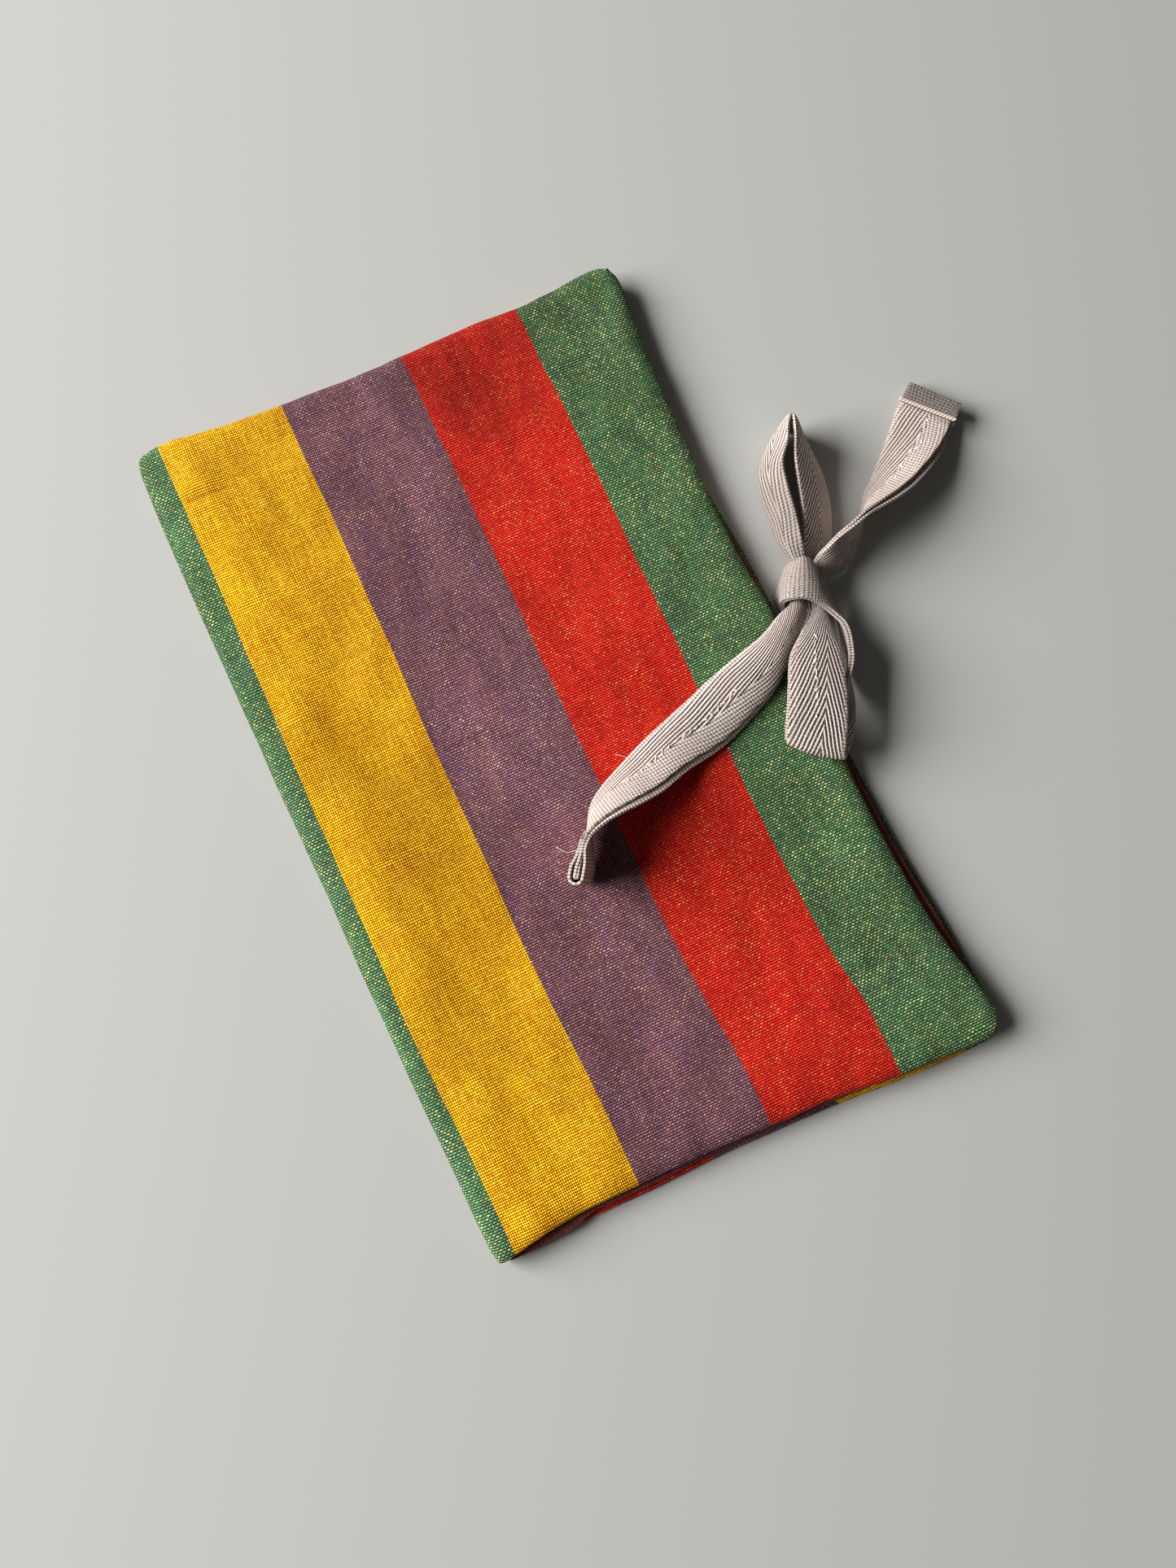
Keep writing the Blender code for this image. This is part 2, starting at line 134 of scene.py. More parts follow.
# The tapes' courses in the bow's frame: each row is the place of the tape's open edge and of
# its folded edge, both across, along and up, and how far its middle bows out
TIE_FRONT = (
    (-2.8, -10.6, 2.7, 2.8, -16.4, 2.7, 0), (-3.6, -1.5, 1.9, 5.2, -4.5, 1.9, 0),
    (-2.8, 5, 4, 6, 3.4, 1.3, 0.8), (-1, 10.5, 10.6, 8.4, 10.8, 1.3, 1.6),
    (-1.3, 18, 13.4, 9.6, 19, 1.3, 0.6), (-2.2, 27, 13.2, 9.2, 27.5, 1.3, 0.6),
    (-3.4, 36, 14.4, 6.8, 37, 1.3, 0.8), (-3.5, 43, 15.4, 2.6, 44.6, 1.3, 1),
    (-4.1, 47.5, 15.8, -1.9, 48.6, 1.3, 1.3), (-4.9, 44.6, 16, -6.8, 45.6, 1.3, 1),
    (-5.3, 39.5, 16.3, -9.6, 40.5, 1.3, 0.8), (-7, 33, 16.4, -10.9, 34.2, 1.3, 0.6),
    (-5.9, 26, 16.3, -10.1, 27.5, 1.3, 0.6), (-3.8, 18, 16.2, -7.7, 19.5, 1.4, 0.6),
    (-1.9, 11, 14.6, -5.8, 12, 2.6, 1.2), (0.3, 5.5, 8.8, -3.2, 6, 5.6, 1.3),
    (0.2, -1.5, 7.4, -4, -1.5, 5.8, 1.6), (0.4, -6.6, 7.8, -4.3, -7.4, 7.4, 2),
    (0, -9.6, 8.6, -7.8, -10.8, 9.4, 2.4), (-2.4, -16, 9.4, -11.9, -15.9, 10.4, 2.6),
    (-9.6, -32.2, 9.3, -18.6, -21.8, 9.8, 2.4), (-16.2, -40.4, 9.2, -27, -28.9, 9.4, 2.2),
    (-24.3, -48.7, 9.5, -35.7, -37.2, 9.3, 1.8), (-35.9, -57, 13, -44.4, -45.3, 9.3, 1),
    (-43.4, -63.3, 17.2, -50.9, -51.9, 9.3, 0.2), (-49.7, -67.1, 20.6, -55.2, -56.8, 9.3, 0.2),
    (-54.8, -69.8, 22.8, -59, -61.4, 9.4, 0), (-59.3, -72.6, 24.1, -61.6, -66, 9.4, 0),
    (-63, -75.8, 24.9, -62.4, -71, 9.4, 0), (-64.7, -79.6, 25.2, -61.9, -77, 9.4, 0),
    (-65, -84, 25.2, -61.5, -82.8, 9.4, 0), (-65.6, -87.6, 25.1, -62.2, -86.8, 9.4, 0),
)
TIE_BACK = (
    (-5.4, -7.4, 3.2, -6.2, 0.2, 3.6, -0.2), (-6.6, -6.7, 8, -4.6, 4.6, 7.7, -0.6),
    (-5, -6.8, 11.9, -2.6, 5, 11.5, -1), (-1.8, -6.8, 13, -1.2, 5.5, 12.4, -1),
    (1.4, -7.5, 12.8, 1.2, 4.9, 11.4, -1), (3.9, -8.6, 12.2, 3.5, 1.4, 9.2, -0.8),
    (6.9, -10.6, 11.8, 7.5, -3.2, 4.8, -0.5), (10.2, -14.2, 12.2, 11, -9.8, 1.4, 0),
    (11.3, -19.8, 13.2, 12, -17.8, 1.3, 0), (10.8, -27.3, 13.6, 13.5, -26.8, 1.4, 0),
    (7.6, -34.4, 11.9, 14.3, -34, 3, 0), (-0.5, -41.2, 10, 13.2, -42, 7, 0),
    (-6.6, -45.6, 9.5, 10.8, -49.8, 9.2, 0), (-7.6, -47.7, 11.3, 9.4, -52.4, 10.9, 1.1),
    (-8, -46, 13.6, 8.9, -50.6, 12.9, 0.6), (-7.5, -39.1, 15, 9.4, -42.5, 14.2, 0.4),
    (-7.1, -32.6, 15.2, 9.3, -34, 14.6, 0.6), (-6.1, -23.8, 14.4, 8.2, -23.6, 14, 0.8),
    (-2.4, -16.8, 12.2, 6.6, -15.8, 11.6, 1), (1.6, -10, 8.6, 6, -9.6, 8.2, 1),
    (1.5, -1.5, 7, 5.6, -1.5, 4.8, 1.2), (2.7, 5.8, 9.4, 7.2, 2.6, 3.7, 1.6),
    (5.5, 8.4, 14.2, 14.2, 6.8, 1.4, 0.8), (8.9, 11.6, 15.6, 16.6, 12.2, 1.3, 0.4),
    (12.4, 14.3, 16.4, 18, 16.8, 1.3, 0.2), (15.8, 17.2, 16.7, 18.9, 21.4, 1.3, 0),
    (20.9, 20.6, 15.7, 20.4, 29, 1.3, 0), (26.4, 24.3, 14.4, 22.6, 33.7, 1.3, 0),
    (31.6, 28.6, 12.6, 24.5, 38.4, 1.3, 0), (36.9, 34.4, 10.6, 26.4, 43.1, 1.3, 0),
    (42.4, 41.6, 7.4, 28.6, 48.9, 1.3, 0), (46.6, 49, 4.4, 31.4, 56.6, 1.3, 0),
    (49.2, 55.4, 3.2, 34.6, 63, 1.3, 0),
)

# A tape's end folded back: which side it lies on, its length up to the stitches, the turn's
# radius, how far the inner and the outer layer stand off at the turn, how tightly the stitches
# close it, and how far it runs on past them
Hem = namedtuple("Hem", "side length radius inner_spread outer_spread waist knob")
FRONT_HEM = Hem(1, 9.0, 1.3, 0.59, 0.12, 0.66, 3.0)
BACK_HEM = Hem(-1, 4.9, 1.2, 0.1, 0.0, 0.12, 0.0)

# How a tape's two layers lie along its run: the gap between them, how far each leans out at
# the open edge, and by how much the hem's layer falls short (below zero, the other one)
FRONT_OPENING = (
    (0, 0.04, 0, 0), (138, 0.04, 0, 0), (156, 0.1, 0.06, 0.9), (176, 0.16, 0.1, 1.5),
    (214, 0.18, 0.12, 1.6), (228, 0.16, 0.1, 0.6), (240, 0.12, 0, 0),
)
BACK_OPENING = (
    (0, 0.08, 0, 0.3), (36, 0.16, 0.05, 0), (76, 0.14, 0.04, -0.8), (84, 0.14, 0.04, -1.7),
    (106, 0.12, 0, -1.7), (124, 0.08, 0, 0), (150, 0.2, 0.12, 0.3), (172, 0.24, 0.55, 0.9),
    (204, 0.2, 0.7, 1.2),
)

# The cover's stripes as laid along the cloth, from the back leaf's free edge round the fold to
# the front leaf's: where each one starts and its colour
STRIPES = (
    (-300.0, "green"), (-217.9, "yellow"), (-178.3, "mauve"), (-141.4, "red"), (-101.4, "green"),
    (-70.7, "yellow"), (-34.0, "mauve"), (3.6, "red"), (42.1, "green"),
)

# Broad painted light and shade in the canvas: where, how far each way, and the shade there
PAINTED_LIGHT_AND_SHADE = (
    (24, 112, 34, 34, 0.66), (57, 121, 15, 18, 0.66), (-26, 121, 18, 15, 0.74),
    (-42, -12, 17, 42, 0.74), (-38, 50, 15, 26, 0.86), (64, -62, 14, 36, 1.1),
    (-18, 4, 18, 22, 1.2), (-60, -112, 30, 40, 1.2), (-62, 66, 14, 46, 1.18),
    (18, 50, 15, 20, 1.18), (-8, -82, 13, 18, 1.25), (-62.5, 104.6, 9, 0.9, 0.62),
    (-24, 9, 8, 0.8, 0.75), (-200, -126, 26, 9, 1.4),
)

# Places where more of the golden weft shows: where, and how far each way
GOLDEN = (
    (57, -55, 15, 30), (53, -92, 13, 16), (50, 112, 11, 16), (62, 62, 10, 26), (-25, 113, 9, 12),
    (-10, 74, 8, 18), (-14, -58, 12, 20), (24, -70, 14, 20), (16, 62, 12, 16),
)

# How far the front leaf's stripes bow towards the fold
STRIPE_BOW = ((-125, 0.0), (-100, 0.0), (-60, 1.4), (-20, 1.2), (20, 0.9), (60, 0.2), (100, 0.0),
              (125, 0.0))
# How far they turn that way at its lower free corner
STRIPE_TURN = 2.2

# Spacing of the yarns and of the twill's ridges
WARP_PITCH = 0.60
WEFT_PITCH = 0.71
LINING_PITCH = 0.55
RIB_PITCH = 0.95

# The weft's turns along a tape's edge: their spacing, and how far they stand out
SELVEDGE_PITCH = 1.15
SELVEDGE_RISE = 0.09

# The herringbone along a tape's run: how far from the fold its ridges meet, their spacing
# along the tape, across its folded half and across its open half, how strong the folded and
# the open half show, and the painted light and shade on the tape there
FRONT_TWILL = (
    (0, 8.6, 2.6, 1.3, 1.3, 1, 1, 1.15), (72, 8.6, 3, 1.5, 1.5, 1, 1, 1.15),
    (88, 8.6, 5, 1.9, 1.9, 0.8, 0.8, 0.62), (98, 8.6, 12, 2.1, 2.1, 0.62, 0.62, 0.46),
    (120, 9, 12, 2, 2, 0.62, 0.62, 0.52), (134, 11, 6, 1.1, 1.2, 1, 0.8, 0.92),
    (165, 10, 6.4, 1.1, 1.1, 1, 0.42, 1), (195, 8, 6.8, 1.1, 1.1, 1, 0.36, 1),
    (220, 5, 7, 1.1, 1.1, 0.8, 0.34, 0.96), (260, 4, 7, 1.1, 1.1, 0.6, 0.34, 1.04),
)
BACK_TWILL = (
    (0, 8.5, 2, 0.9, 0.9, 0.45, 0.45, 0.6), (28, 8.5, 2.4, 1, 1, 0.45, 0.45, 0.6),
    (44, 8, 3.5, 1.15, 1.15, 0.9, 0.9, 0.8), (80, 6.8, 3.5, 1.15, 1.15, 0.9, 0.9, 0.88),
    (96, 5.8, 3.5, 1.15, 1.15, 0.9, 0.9, 0.88), (114, 3.6, 3.5, 1.15, 1.15, 0.9, 0.9, 0.86),
    (138, 7, 4, 1.1, 1.1, 0.9, 0.8, 0.85), (160, 8.5, 5.5, 1.1, 1.1, 0.8, 0.35, 0.86),
    (196, 9, 5.5, 1.1, 1.1, 0.7, 0.3, 0.88), (206, 9, 5.5, 1.1, 1.1, 0.3, 0.25, 0.88),
    (215, 9, 5.5, 1.1, 1.1, 0.25, 0.25, 0.88),
)

# What sets a tape's cloth apart: where its open edge grows smooth, and the shade of its end
TapeLook = namedtuple("TapeLook", "name smooth_from flap_shade")
FRONT_LOOK = TapeLook("front_twill", 16.2, 1.0)
BACK_LOOK = TapeLook("back_twill", 15.9, 0.36)

# Loose threads on the cover: places of each one's points
LOOSE_THREADS = (
    ((-14.9, -29.6), (-13.6, -31.2), (-12.9, -32.4), (-11.4, -32.2), (-9.8, -32.6)),
    ((11.0, -12.6), (12.4, -13.6), (13.6, -14.8)),
)

# Stitches along the tapes: the tape and its side, where they start and end along it, and how
# far they lie from its fold there
STITCH_ROWS = (
    ("tie_back", 1, 86.0, 110.0, 9.0, 9.0),
    ("tie_back", -1, 168.0, 198.0, 10.2, 9.8),
    ("tie_front", 1, 164.0, 208.0, 8.2, 7.6),
)
STITCH_PITCH = 2.6

# How far a stitch may stray and lean, and half its length
STITCH_STRAY = 0.4
STITCH_LEAN = 0.9
STITCH_REACH = (0.5, 0.85)

# A pale thread along the front leaf's lower rim, a painted highlight where its turned edge
# catches the light: its ends, its pitch, and how far it lies below the rim and inside the cloth's
# face
RIM_HIGHLIGHT_START = -70.0
RIM_HIGHLIGHT_END = 66.0
RIM_HIGHLIGHT_PITCH = 1.1
RIM_HIGHLIGHT_BELOW = 0.22
RIM_HIGHLIGHT_INSIDE = 0.55

# Radii of the threads, and how high the loose ones lie over the front leaf's middle
LOOSE_RADIUS = 0.065
RIM_HIGHLIGHT_RADIUS = 0.14
STITCH_RADIUS = 0.19
LOOSE_LIFT = 0.87

# Steps of the cloth round the fold, and round the turn of a tape's end
COVER_FOLD_STEPS = 10
LINING_FOLD_STEPS = 8
HEM_TURN_STEPS = 12

# How far each cloth's rim is rounded
COVER_ROUNDING = 0.55
LINING_ROUNDING = 0.45
TAPE_ROUNDING = 0.2

# The twisted edge of the back tape's end: its two strands' radius, their distance from its
# middle and the length of a full twist
STRAND_RADIUS = 0.42
STRAND_PLACE = 0.32
STRAND_TWIST = 2.0

# The camera at the photo's angle, in metres and degrees, and the large light to the upper left,
# in metres
CAMERA_PLACE = (-0.03566, -0.05909, 0.34468)
CAMERA_TURN = (9.0164, -2.5232, -25.2066)
CAMERA_LENS = 28.02
LIGHT_PLACE = (-1.44, 0.78, 0.94)
LIGHT_AIM = (0.02, -0.01, 0.0)
LIGHT_SIZE = (1.4, 1.1)

# Darkest and lightest shades of the streaks along the warp and the weft, and painted shade in
# the canvas's valleys and painted light on its crests; a painted highlight on the yarns' tops;
# the washed tape
WARP_STREAK = ((0.84, 0.72, 0.72), (1.12, 1.23, 1.25))
WEFT_STREAK = ((0.90, 0.80, 0.80), (1.08, 1.17, 1.18))
CANVAS_PAINTED_DEPTH = ((0.30, 0.19, 0.16), (1.32, 1.41, 1.55))
CREST_HIGHLIGHT = (1.0, 0.82, 0.55)
WASHED_TONE = (0.45, 0.33, 0.28)

# Painted shade on the canvas where it turns round the fold
FOLD_PAINTED_SHADE = 0.54

# The canvas's tones in each stripe: the warp where it turns patchy, the weft's flecks and the
# brightest of them
CANVAS_TONES = {
    "yellow": ((0.95, 0.40, 0.003), (1.0, 0.52, 0.006), (1.0, 0.72, 0.06)),
    "mauve": ((0.120, 0.050, 0.145), (0.34, 0.162, 0.120), (0.60, 0.36, 0.18)),
    "red": ((0.64, 0.003, 0.007), (0.92, 0.050, 0.018), (1.0, 0.28, 0.06)),
    "green": ((0.012, 0.115, 0.105), (0.26, 0.34, 0.080), (0.90, 0.78, 0.20)),
}


def length_property(name, description, default):
    return FloatProperty(name=name, description=description, default=default, unit="LENGTH")


def colour_property(name, description, default):
    return FloatVectorProperty(
        name=name, description=description, default=default, subtype="COLOR")


class PouchSizes(bpy.types.PropertyGroup):
    """Sizes of the closed pouch and of its tape."""

    length: length_property("Length", "Length of the closed pouch along its fold", 0.25)
    width: length_property("Width", "Width from the fold to the free edge", 0.152)
    closed_thickness: length_property("Closed thickness", "Height of the closed pouch", 0.0075)
    cover_thickness: length_property("Cover thickness", "Thickness of the hemmed canvas", 0.0016)
    lining_thickness: length_property("Lining thickness", "Thickness of the lining", 0.0012)
    lining_inset: length_property(
        "Lining inset", "How far the lining ends inside the cover", 0.0016)
    cell: length_property("Cloth cell", "Size of a cell in the cloth's mesh", 0.0015)
    tape_width: length_property("Tape width", "Width of the tape once folded lengthwise", 0.017)
    tape_thickness: length_property(
        "Tape thickness", "Thickness of one layer of the tape", 0.00065)
    tape_step: length_property("Tape step", "Step of the mesh along the tape", 0.0005)


class PouchColours(bpy.types.PropertyGroup):
    """Colours of the cloths and threads."""

    yellow: colour_property("Yellow", "Warp of the yellow stripes", (1.0, 0.465, 0.004))
    mauve: colour_property("Mauve", "Warp of the mauve stripes", (0.188, 0.070, 0.130))
    red: colour_property("Red", "Warp of the red stripes", (0.78, 0.004, 0.007))
    green: colour_property("Green", "Warp of the green stripes", (0.020, 0.160, 0.100))
    lining: colour_property("Lining", "The lining's plum", (0.235, 0.054, 0.050))
    # Tape colours with painted light on the twill's crests and painted shade between its ridges
    lit_tape_ridge: colour_property("Tape ridges", "Crests of the twill", (0.86, 0.74, 0.68))
    shaded_tape_valley: colour_property(
        "Tape valleys", "Between the twill's ridges", (0.05, 0.034, 0.028))
    thread: colour_property("Thread", "Stitches on the tape", (0.98, 0.93, 0.87))
    cord: colour_property("Cord", "Twisted edge of the folded-back end", (0.66, 0.55, 0.48))
    # A pale thread colour that stands for a painted highlight along the front leaf's rim
    seam: colour_property("Seam thread", "Thread along the front edge", (0.62, 0.33, 0.20))


class PouchStage(bpy.types.PropertyGroup):
    """The floor and the lights."""

    floor_colour: colour_property("Floor", "Colour of the floor", (0.50, 0.505, 0.49))
    floor_size: length_property("Floor size", "Side of the square floor", 6.0)
    key_power: FloatProperty(
        name="Key light", description="Power of the large soft light", default=84.0, unit="POWER")
    fill: FloatProperty(
        name="Fill", description="Strength of the even light all round", default=0.062,
        subtype="FACTOR")


def smooth_curve(table, at):
    """Read a smooth curve through the table's rows, each a place and its value."""
    places = np.array([row[0] for row in table], float)
    values = np.array([row[1] for row in table], float)
    slopes = np.gradient(values, places, axis=0)
    at = np.clip(np.asarray(at, float), places[0], places[-1])
    low = np.clip(np.searchsorted(places, at) - 1, 0, len(places) - 2)
    step = places[low + 1] - places[low]
    part = (at - places[low]) / step
    if values.ndim > 1:
        step = step[:, None]
        part = part[:, None]
    start = values[low] * (1 + 2 * part) * (1 - part) ** 2
    end = values[low + 1] * part ** 2 * (3 - 2 * part)
    lean = slopes[low] * (1 - part) - slopes[low + 1] * part
    return start + end + step * part * (1 - part) * lean


def smooth_rows(table, at):
    """Read each further column of a table as a smooth curve along its first one."""
    return smooth_curve([(row[0], row[1:]) for row in table], at).T


def smooth_step(low, high, at):
    share = np.clip((np.asarray(at, float) - low) / (high - low), 0, 1)
    return share * share * (3 - 2 * share)


def unit(vectors):
    return vectors / np.linalg.norm(vectors, axis=-1, keepdims=True)


def run_along(points):
    """The length along a line of points up to each of them."""
    return np.concatenate([[0], np.cumsum(np.linalg.norm(np.diff(points, axis=0), axis=1))])


class Leaves:
    """The two leaves of the closed pouch, in millimetres."""

    def __init__(self, sizes):
        self.length = sizes.length / MM
        self.width = sizes.width / MM
        self.cell = sizes.cell / MM
        cover = sizes.cover_thickness / MM
        lining = sizes.lining_thickness / MM
        closed = sizes.closed_thickness / MM
        self.cover_back = cover / 2
        self.cover_front = closed - cover / 2
        self.lining_back = cover + LINING_CLEARANCE + lining / 2
        self.lining_front = closed - self.lining_back
        self.fold_inset = cover / 2 + (self.cover_front - self.cover_back) / 2

    def side(self, leaf, y):
        return self.width / 2 - smooth_curve(leaf.side, y)

    def top(self, leaf, x):
        return self.length / 2 - smooth_curve(leaf.top, x)

    def bottom(self, leaf, x):
        return smooth_curve(leaf.bottom, x) - self.length / 2

    def places(self, x, y, inset, leaf):
        """Fit nominal places to a leaf's own edges, with its free corners rounded."""
        corner_x = self.width / 2 - CORNER_RADIUS
        corner_y = self.length / 2 - CORNER_RADIUS
        past_x = x - corner_x
        past_y = np.abs(y) - corner_y
        in_corner = (past_x > 0) & (past_y > 0)
        reach = np.where(in_corner, np.hypot(past_x, past_y), 1.0)
        shrink = np.where(in_corner, np.maximum(past_x, past_y) / reach, 1.0)
        x = np.where(in_corner, corner_x + past_x * shrink, x)
        y = np.where(in_corner, np.sign(y) * (corner_y + past_y * shrink), y)
        fold_x = smooth_curve(FOLD_EDGE, y) - self.width / 2 + self.fold_inset
        fold_start = self.fold_inset - self.width / 2
        across = (x - fold_start) / (self.width / 2 - fold_start)
        along = y / self.length + 0.5
        top_y = self.top(leaf, x) - inset
        if leaf is BACK_LEAF:
            inset = inset * ((1 + LINING_PAST) * smooth_step(-56, -46, x) - LINING_PAST)
        bottom_y = self.bottom(leaf, x) + inset
        leaf_x = fold_x + across * (self.side(leaf, y) - inset - fold_x)
        return leaf_x, bottom_y + along * (top_y - bottom_y)

    def front_height(self, x, y, middle):
        """Height of a front layer: swell, dips, creases, ripples, puckers and rolled edges."""
        height = middle + SWELL_RISE * np.exp(-((x - SWELL_X) / SWELL_WIDTH) ** 2)
        for dip_x, dip_y, depth, radius in DIPS:
            height -= depth * np.exp(-((x - dip_x) ** 2 + (y - dip_y) ** 2) / radius ** 2)
        for x1, y1, x2, y2, depth, half_width in CREASES:
            run_x, run_y = x2 - x1, y2 - y1
            length = math.hypot(run_x, run_y)
            share = ((x - x1) * run_x + (y - y1) * run_y) / length / length
            aside = ((y - y1) * run_x - (x - x1) * run_y) / length
            ends = smooth_step(0, 0.25, share) * smooth_step(0, 0.25, 1 - share)
            height -= depth * ends * np.exp(-(aside / half_width) ** 2)
        to_side = self.side(FRONT_LEAF, y) - x
        to_end = np.minimum(self.top(FRONT_LEAF, x) - y, y - self.bottom(FRONT_LEAF, x))
        height += PAD_RISE * smooth_step(0, PAD_WIDTH, np.minimum(to_side, to_end))
        ripple = np.sin(x / 2.3 + 1.1 * np.sin(y / 13) + 0.7 * np.sin(y / 31))
        ripple *= np.sin(y / 6.1 + 1.7 * np.sin(x / 9))
        fine = np.sin(x / 3.7 - y / 15 + np.sin(y / 9))
        ripple += 0.8 * fine * np.cos(y / 11 + 1.3 * np.sin(x / 17))
        height += RIPPLE_RISE * ripple
        pucker = np.exp(-to_end / PUCKER_REACH) * np.sin(x / 1.9 + 0.6 * np.sin(x / 7))
        pucker += np.exp(-to_side / PUCKER_REACH) * np.sin(y / 2.2 + 0.8 * np.sin(y / 9))
        side_roll, end_roll = (
            drop * np.clip(1 - room / EDGE_ROLL_WIDTH, 0, 1) ** EDGE_ROLL_POWER
            for drop, room in ((SIDE_ROLL_DROP, to_side), (END_ROLL_DROP, to_end)))
        return height - np.maximum(side_roll, end_roll) + PUCKER_RISE * pucker

    def folded_sheet(self, inset, back_middle, front_middle, fold_steps):
        """Points of a sheet folded like a book, and the place of each on the flat cloth."""
        fold_start = self.fold_inset - self.width / 2
        free_side, top = self.width / 2, self.length / 2
        across_cells = round((free_side - fold_start) / self.cell)
        leaf_x = np.linspace(fold_start, free_side, across_cells + 1)
        leaf_y = np.linspace(-top, top, round(self.length / self.cell) + 1)
        x, y = np.meshgrid(leaf_x, leaf_y, indexing="ij")
        back_x, back_y = self.places(x, y, inset, BACK_LEAF)
        back = np.stack([back_x, back_y, np.full_like(x, back_middle)], axis=-1)
        front_x, front_y = self.places(x, y, inset, FRONT_LEAF)
        front_up = self.front_height(front_x, front_y, front_middle)
        front = np.stack([front_x, front_y, front_up], axis=-1)
        radius = (front[0, :, 2] - back[0, :, 2]) / 2
        turned = STRIPE_TURN * smooth_step(-40, 45, front_x) * smooth_step(-85, -108, front_y)
        stripe_x = front_x + smooth_curve(STRIPE_BOW, front_y) - turned
        front_flat = np.stack([stripe_x, front_y], axis=-1)
        turn_length = math.pi * radius
        back_flat = np.stack([front_x[0] - turn_length - (back_x - back_x[0]), back_y], axis=-1)
        fold = []
        fold_flat = []
        for step in range(1, fold_steps):
            share = step / fold_steps
            turn = math.pi * share
            line = back[0] + (front[0] - back[0]) * share
            line[:, 0] -= radius * math.sin(turn)
            line[:, 2] = back[0, :, 2] + radius * (1 - math.cos(turn))
            fold.append(line)
            fold_flat.append(back_flat[0] + (front_flat[0] - back_flat[0]) * share)
        points = np.concatenate([back[::-1], np.array(fold), front])
        flat = np.concatenate([back_flat[::-1], np.array(fold_flat), front_flat])
        return points, flat


def add_object(name, data):
    piece = bpy.data.objects.new(name, data)
    bpy.context.scene.collection.objects.link(piece)
    return piece


def grid_piece(name, points, layers, material):
    """Lay a grid of cloth over rows of points in millimetres, with its UV layers by name."""
    rows, columns = points.shape[:2]
    grid = bmesh.new()
    bmesh.ops.create_grid(grid, x_segments=rows - 1, y_segments=columns - 1, size=1.0)
    for layer_name in layers:
        grid.loops.layers.uv.new(layer_name)
    spots = {}
    for vertex in grid.verts:
        row = round((vertex.co.x + 1) / 2 * (rows - 1))
        column = round((vertex.co.y + 1) / 2 * (columns - 1))
        spots[vertex] = row, column
        vertex.co = points[row, column] * MM
    for layer_name, values in layers.items():
        layer = grid.loops.layers.uv[layer_name]
        for face in grid.faces:
            for loop in face.loops:
                loop[layer].uv = values[spots[loop.vert]] * MM
    bmesh.ops.recalc_face_normals(grid, faces=grid.faces)
    mesh = bpy.data.meshes.new(name)
    grid.to_mesh(mesh)
    grid.free()
    mesh.materials.append(material)
    mesh.shade_smooth()
    return add_object(name, mesh)


def thicken(piece, thickness, rounding, even=True):
    """Give a sheet its thickness in millimetres and round its rim."""
    wall = piece.modifiers.new("Thickness", "SOLIDIFY")
    wall.thickness = thickness * MM
    wall.offset = 0.0
    wall.use_even_offset = even
    rim = piece.modifiers.new("Rounded rim", "BEVEL")
    rim.width = rounding * MM
    rim.segments = 2
    rim.limit_method = "ANGLE"
    rim.angle_limit = math.radians(55)


def from_knot(place):
    """Turn a place in the bow's frame into the pouch's frame."""
    across, along, up = place
    x = KNOT[0] + across * math.cos(BOW_TURN) + along * math.sin(BOW_TURN)
    y = KNOT[1] - across * math.sin(BOW_TURN) + along * math.cos(BOW_TURN)
    return np.array([x, y, up])


def seam_row(leaves, leaf, seam):
    """The row where a tape meets a leaf's side, in the pouch's frame."""
    open_x, folded_x = leaves.side(leaf, np.array([seam.open_y, seam.folded_y])) + seam.out
    return open_x, seam.open_y, seam.up, folded_x, seam.folded_y, seam.up, 0.0


def tape_course(first_row, stations, step):
    """Even steps along a tape between its stations: its open edge, folded edge and bow."""
    values = np.array([first_row] + [(*from_knot(row[0:3]), *from_knot(row[3:6]), row[6])
                                     for row in stations])
    run = run_along((values[:, 0:3] + values[:, 3:6]) / 2)
    places = np.linspace(0, run[-1], round(run[-1] / step) + 1)
    course = smooth_curve(list(zip(run, values)), places)
    return course[:, 0:3], course[:, 3:6], course[:, 6]


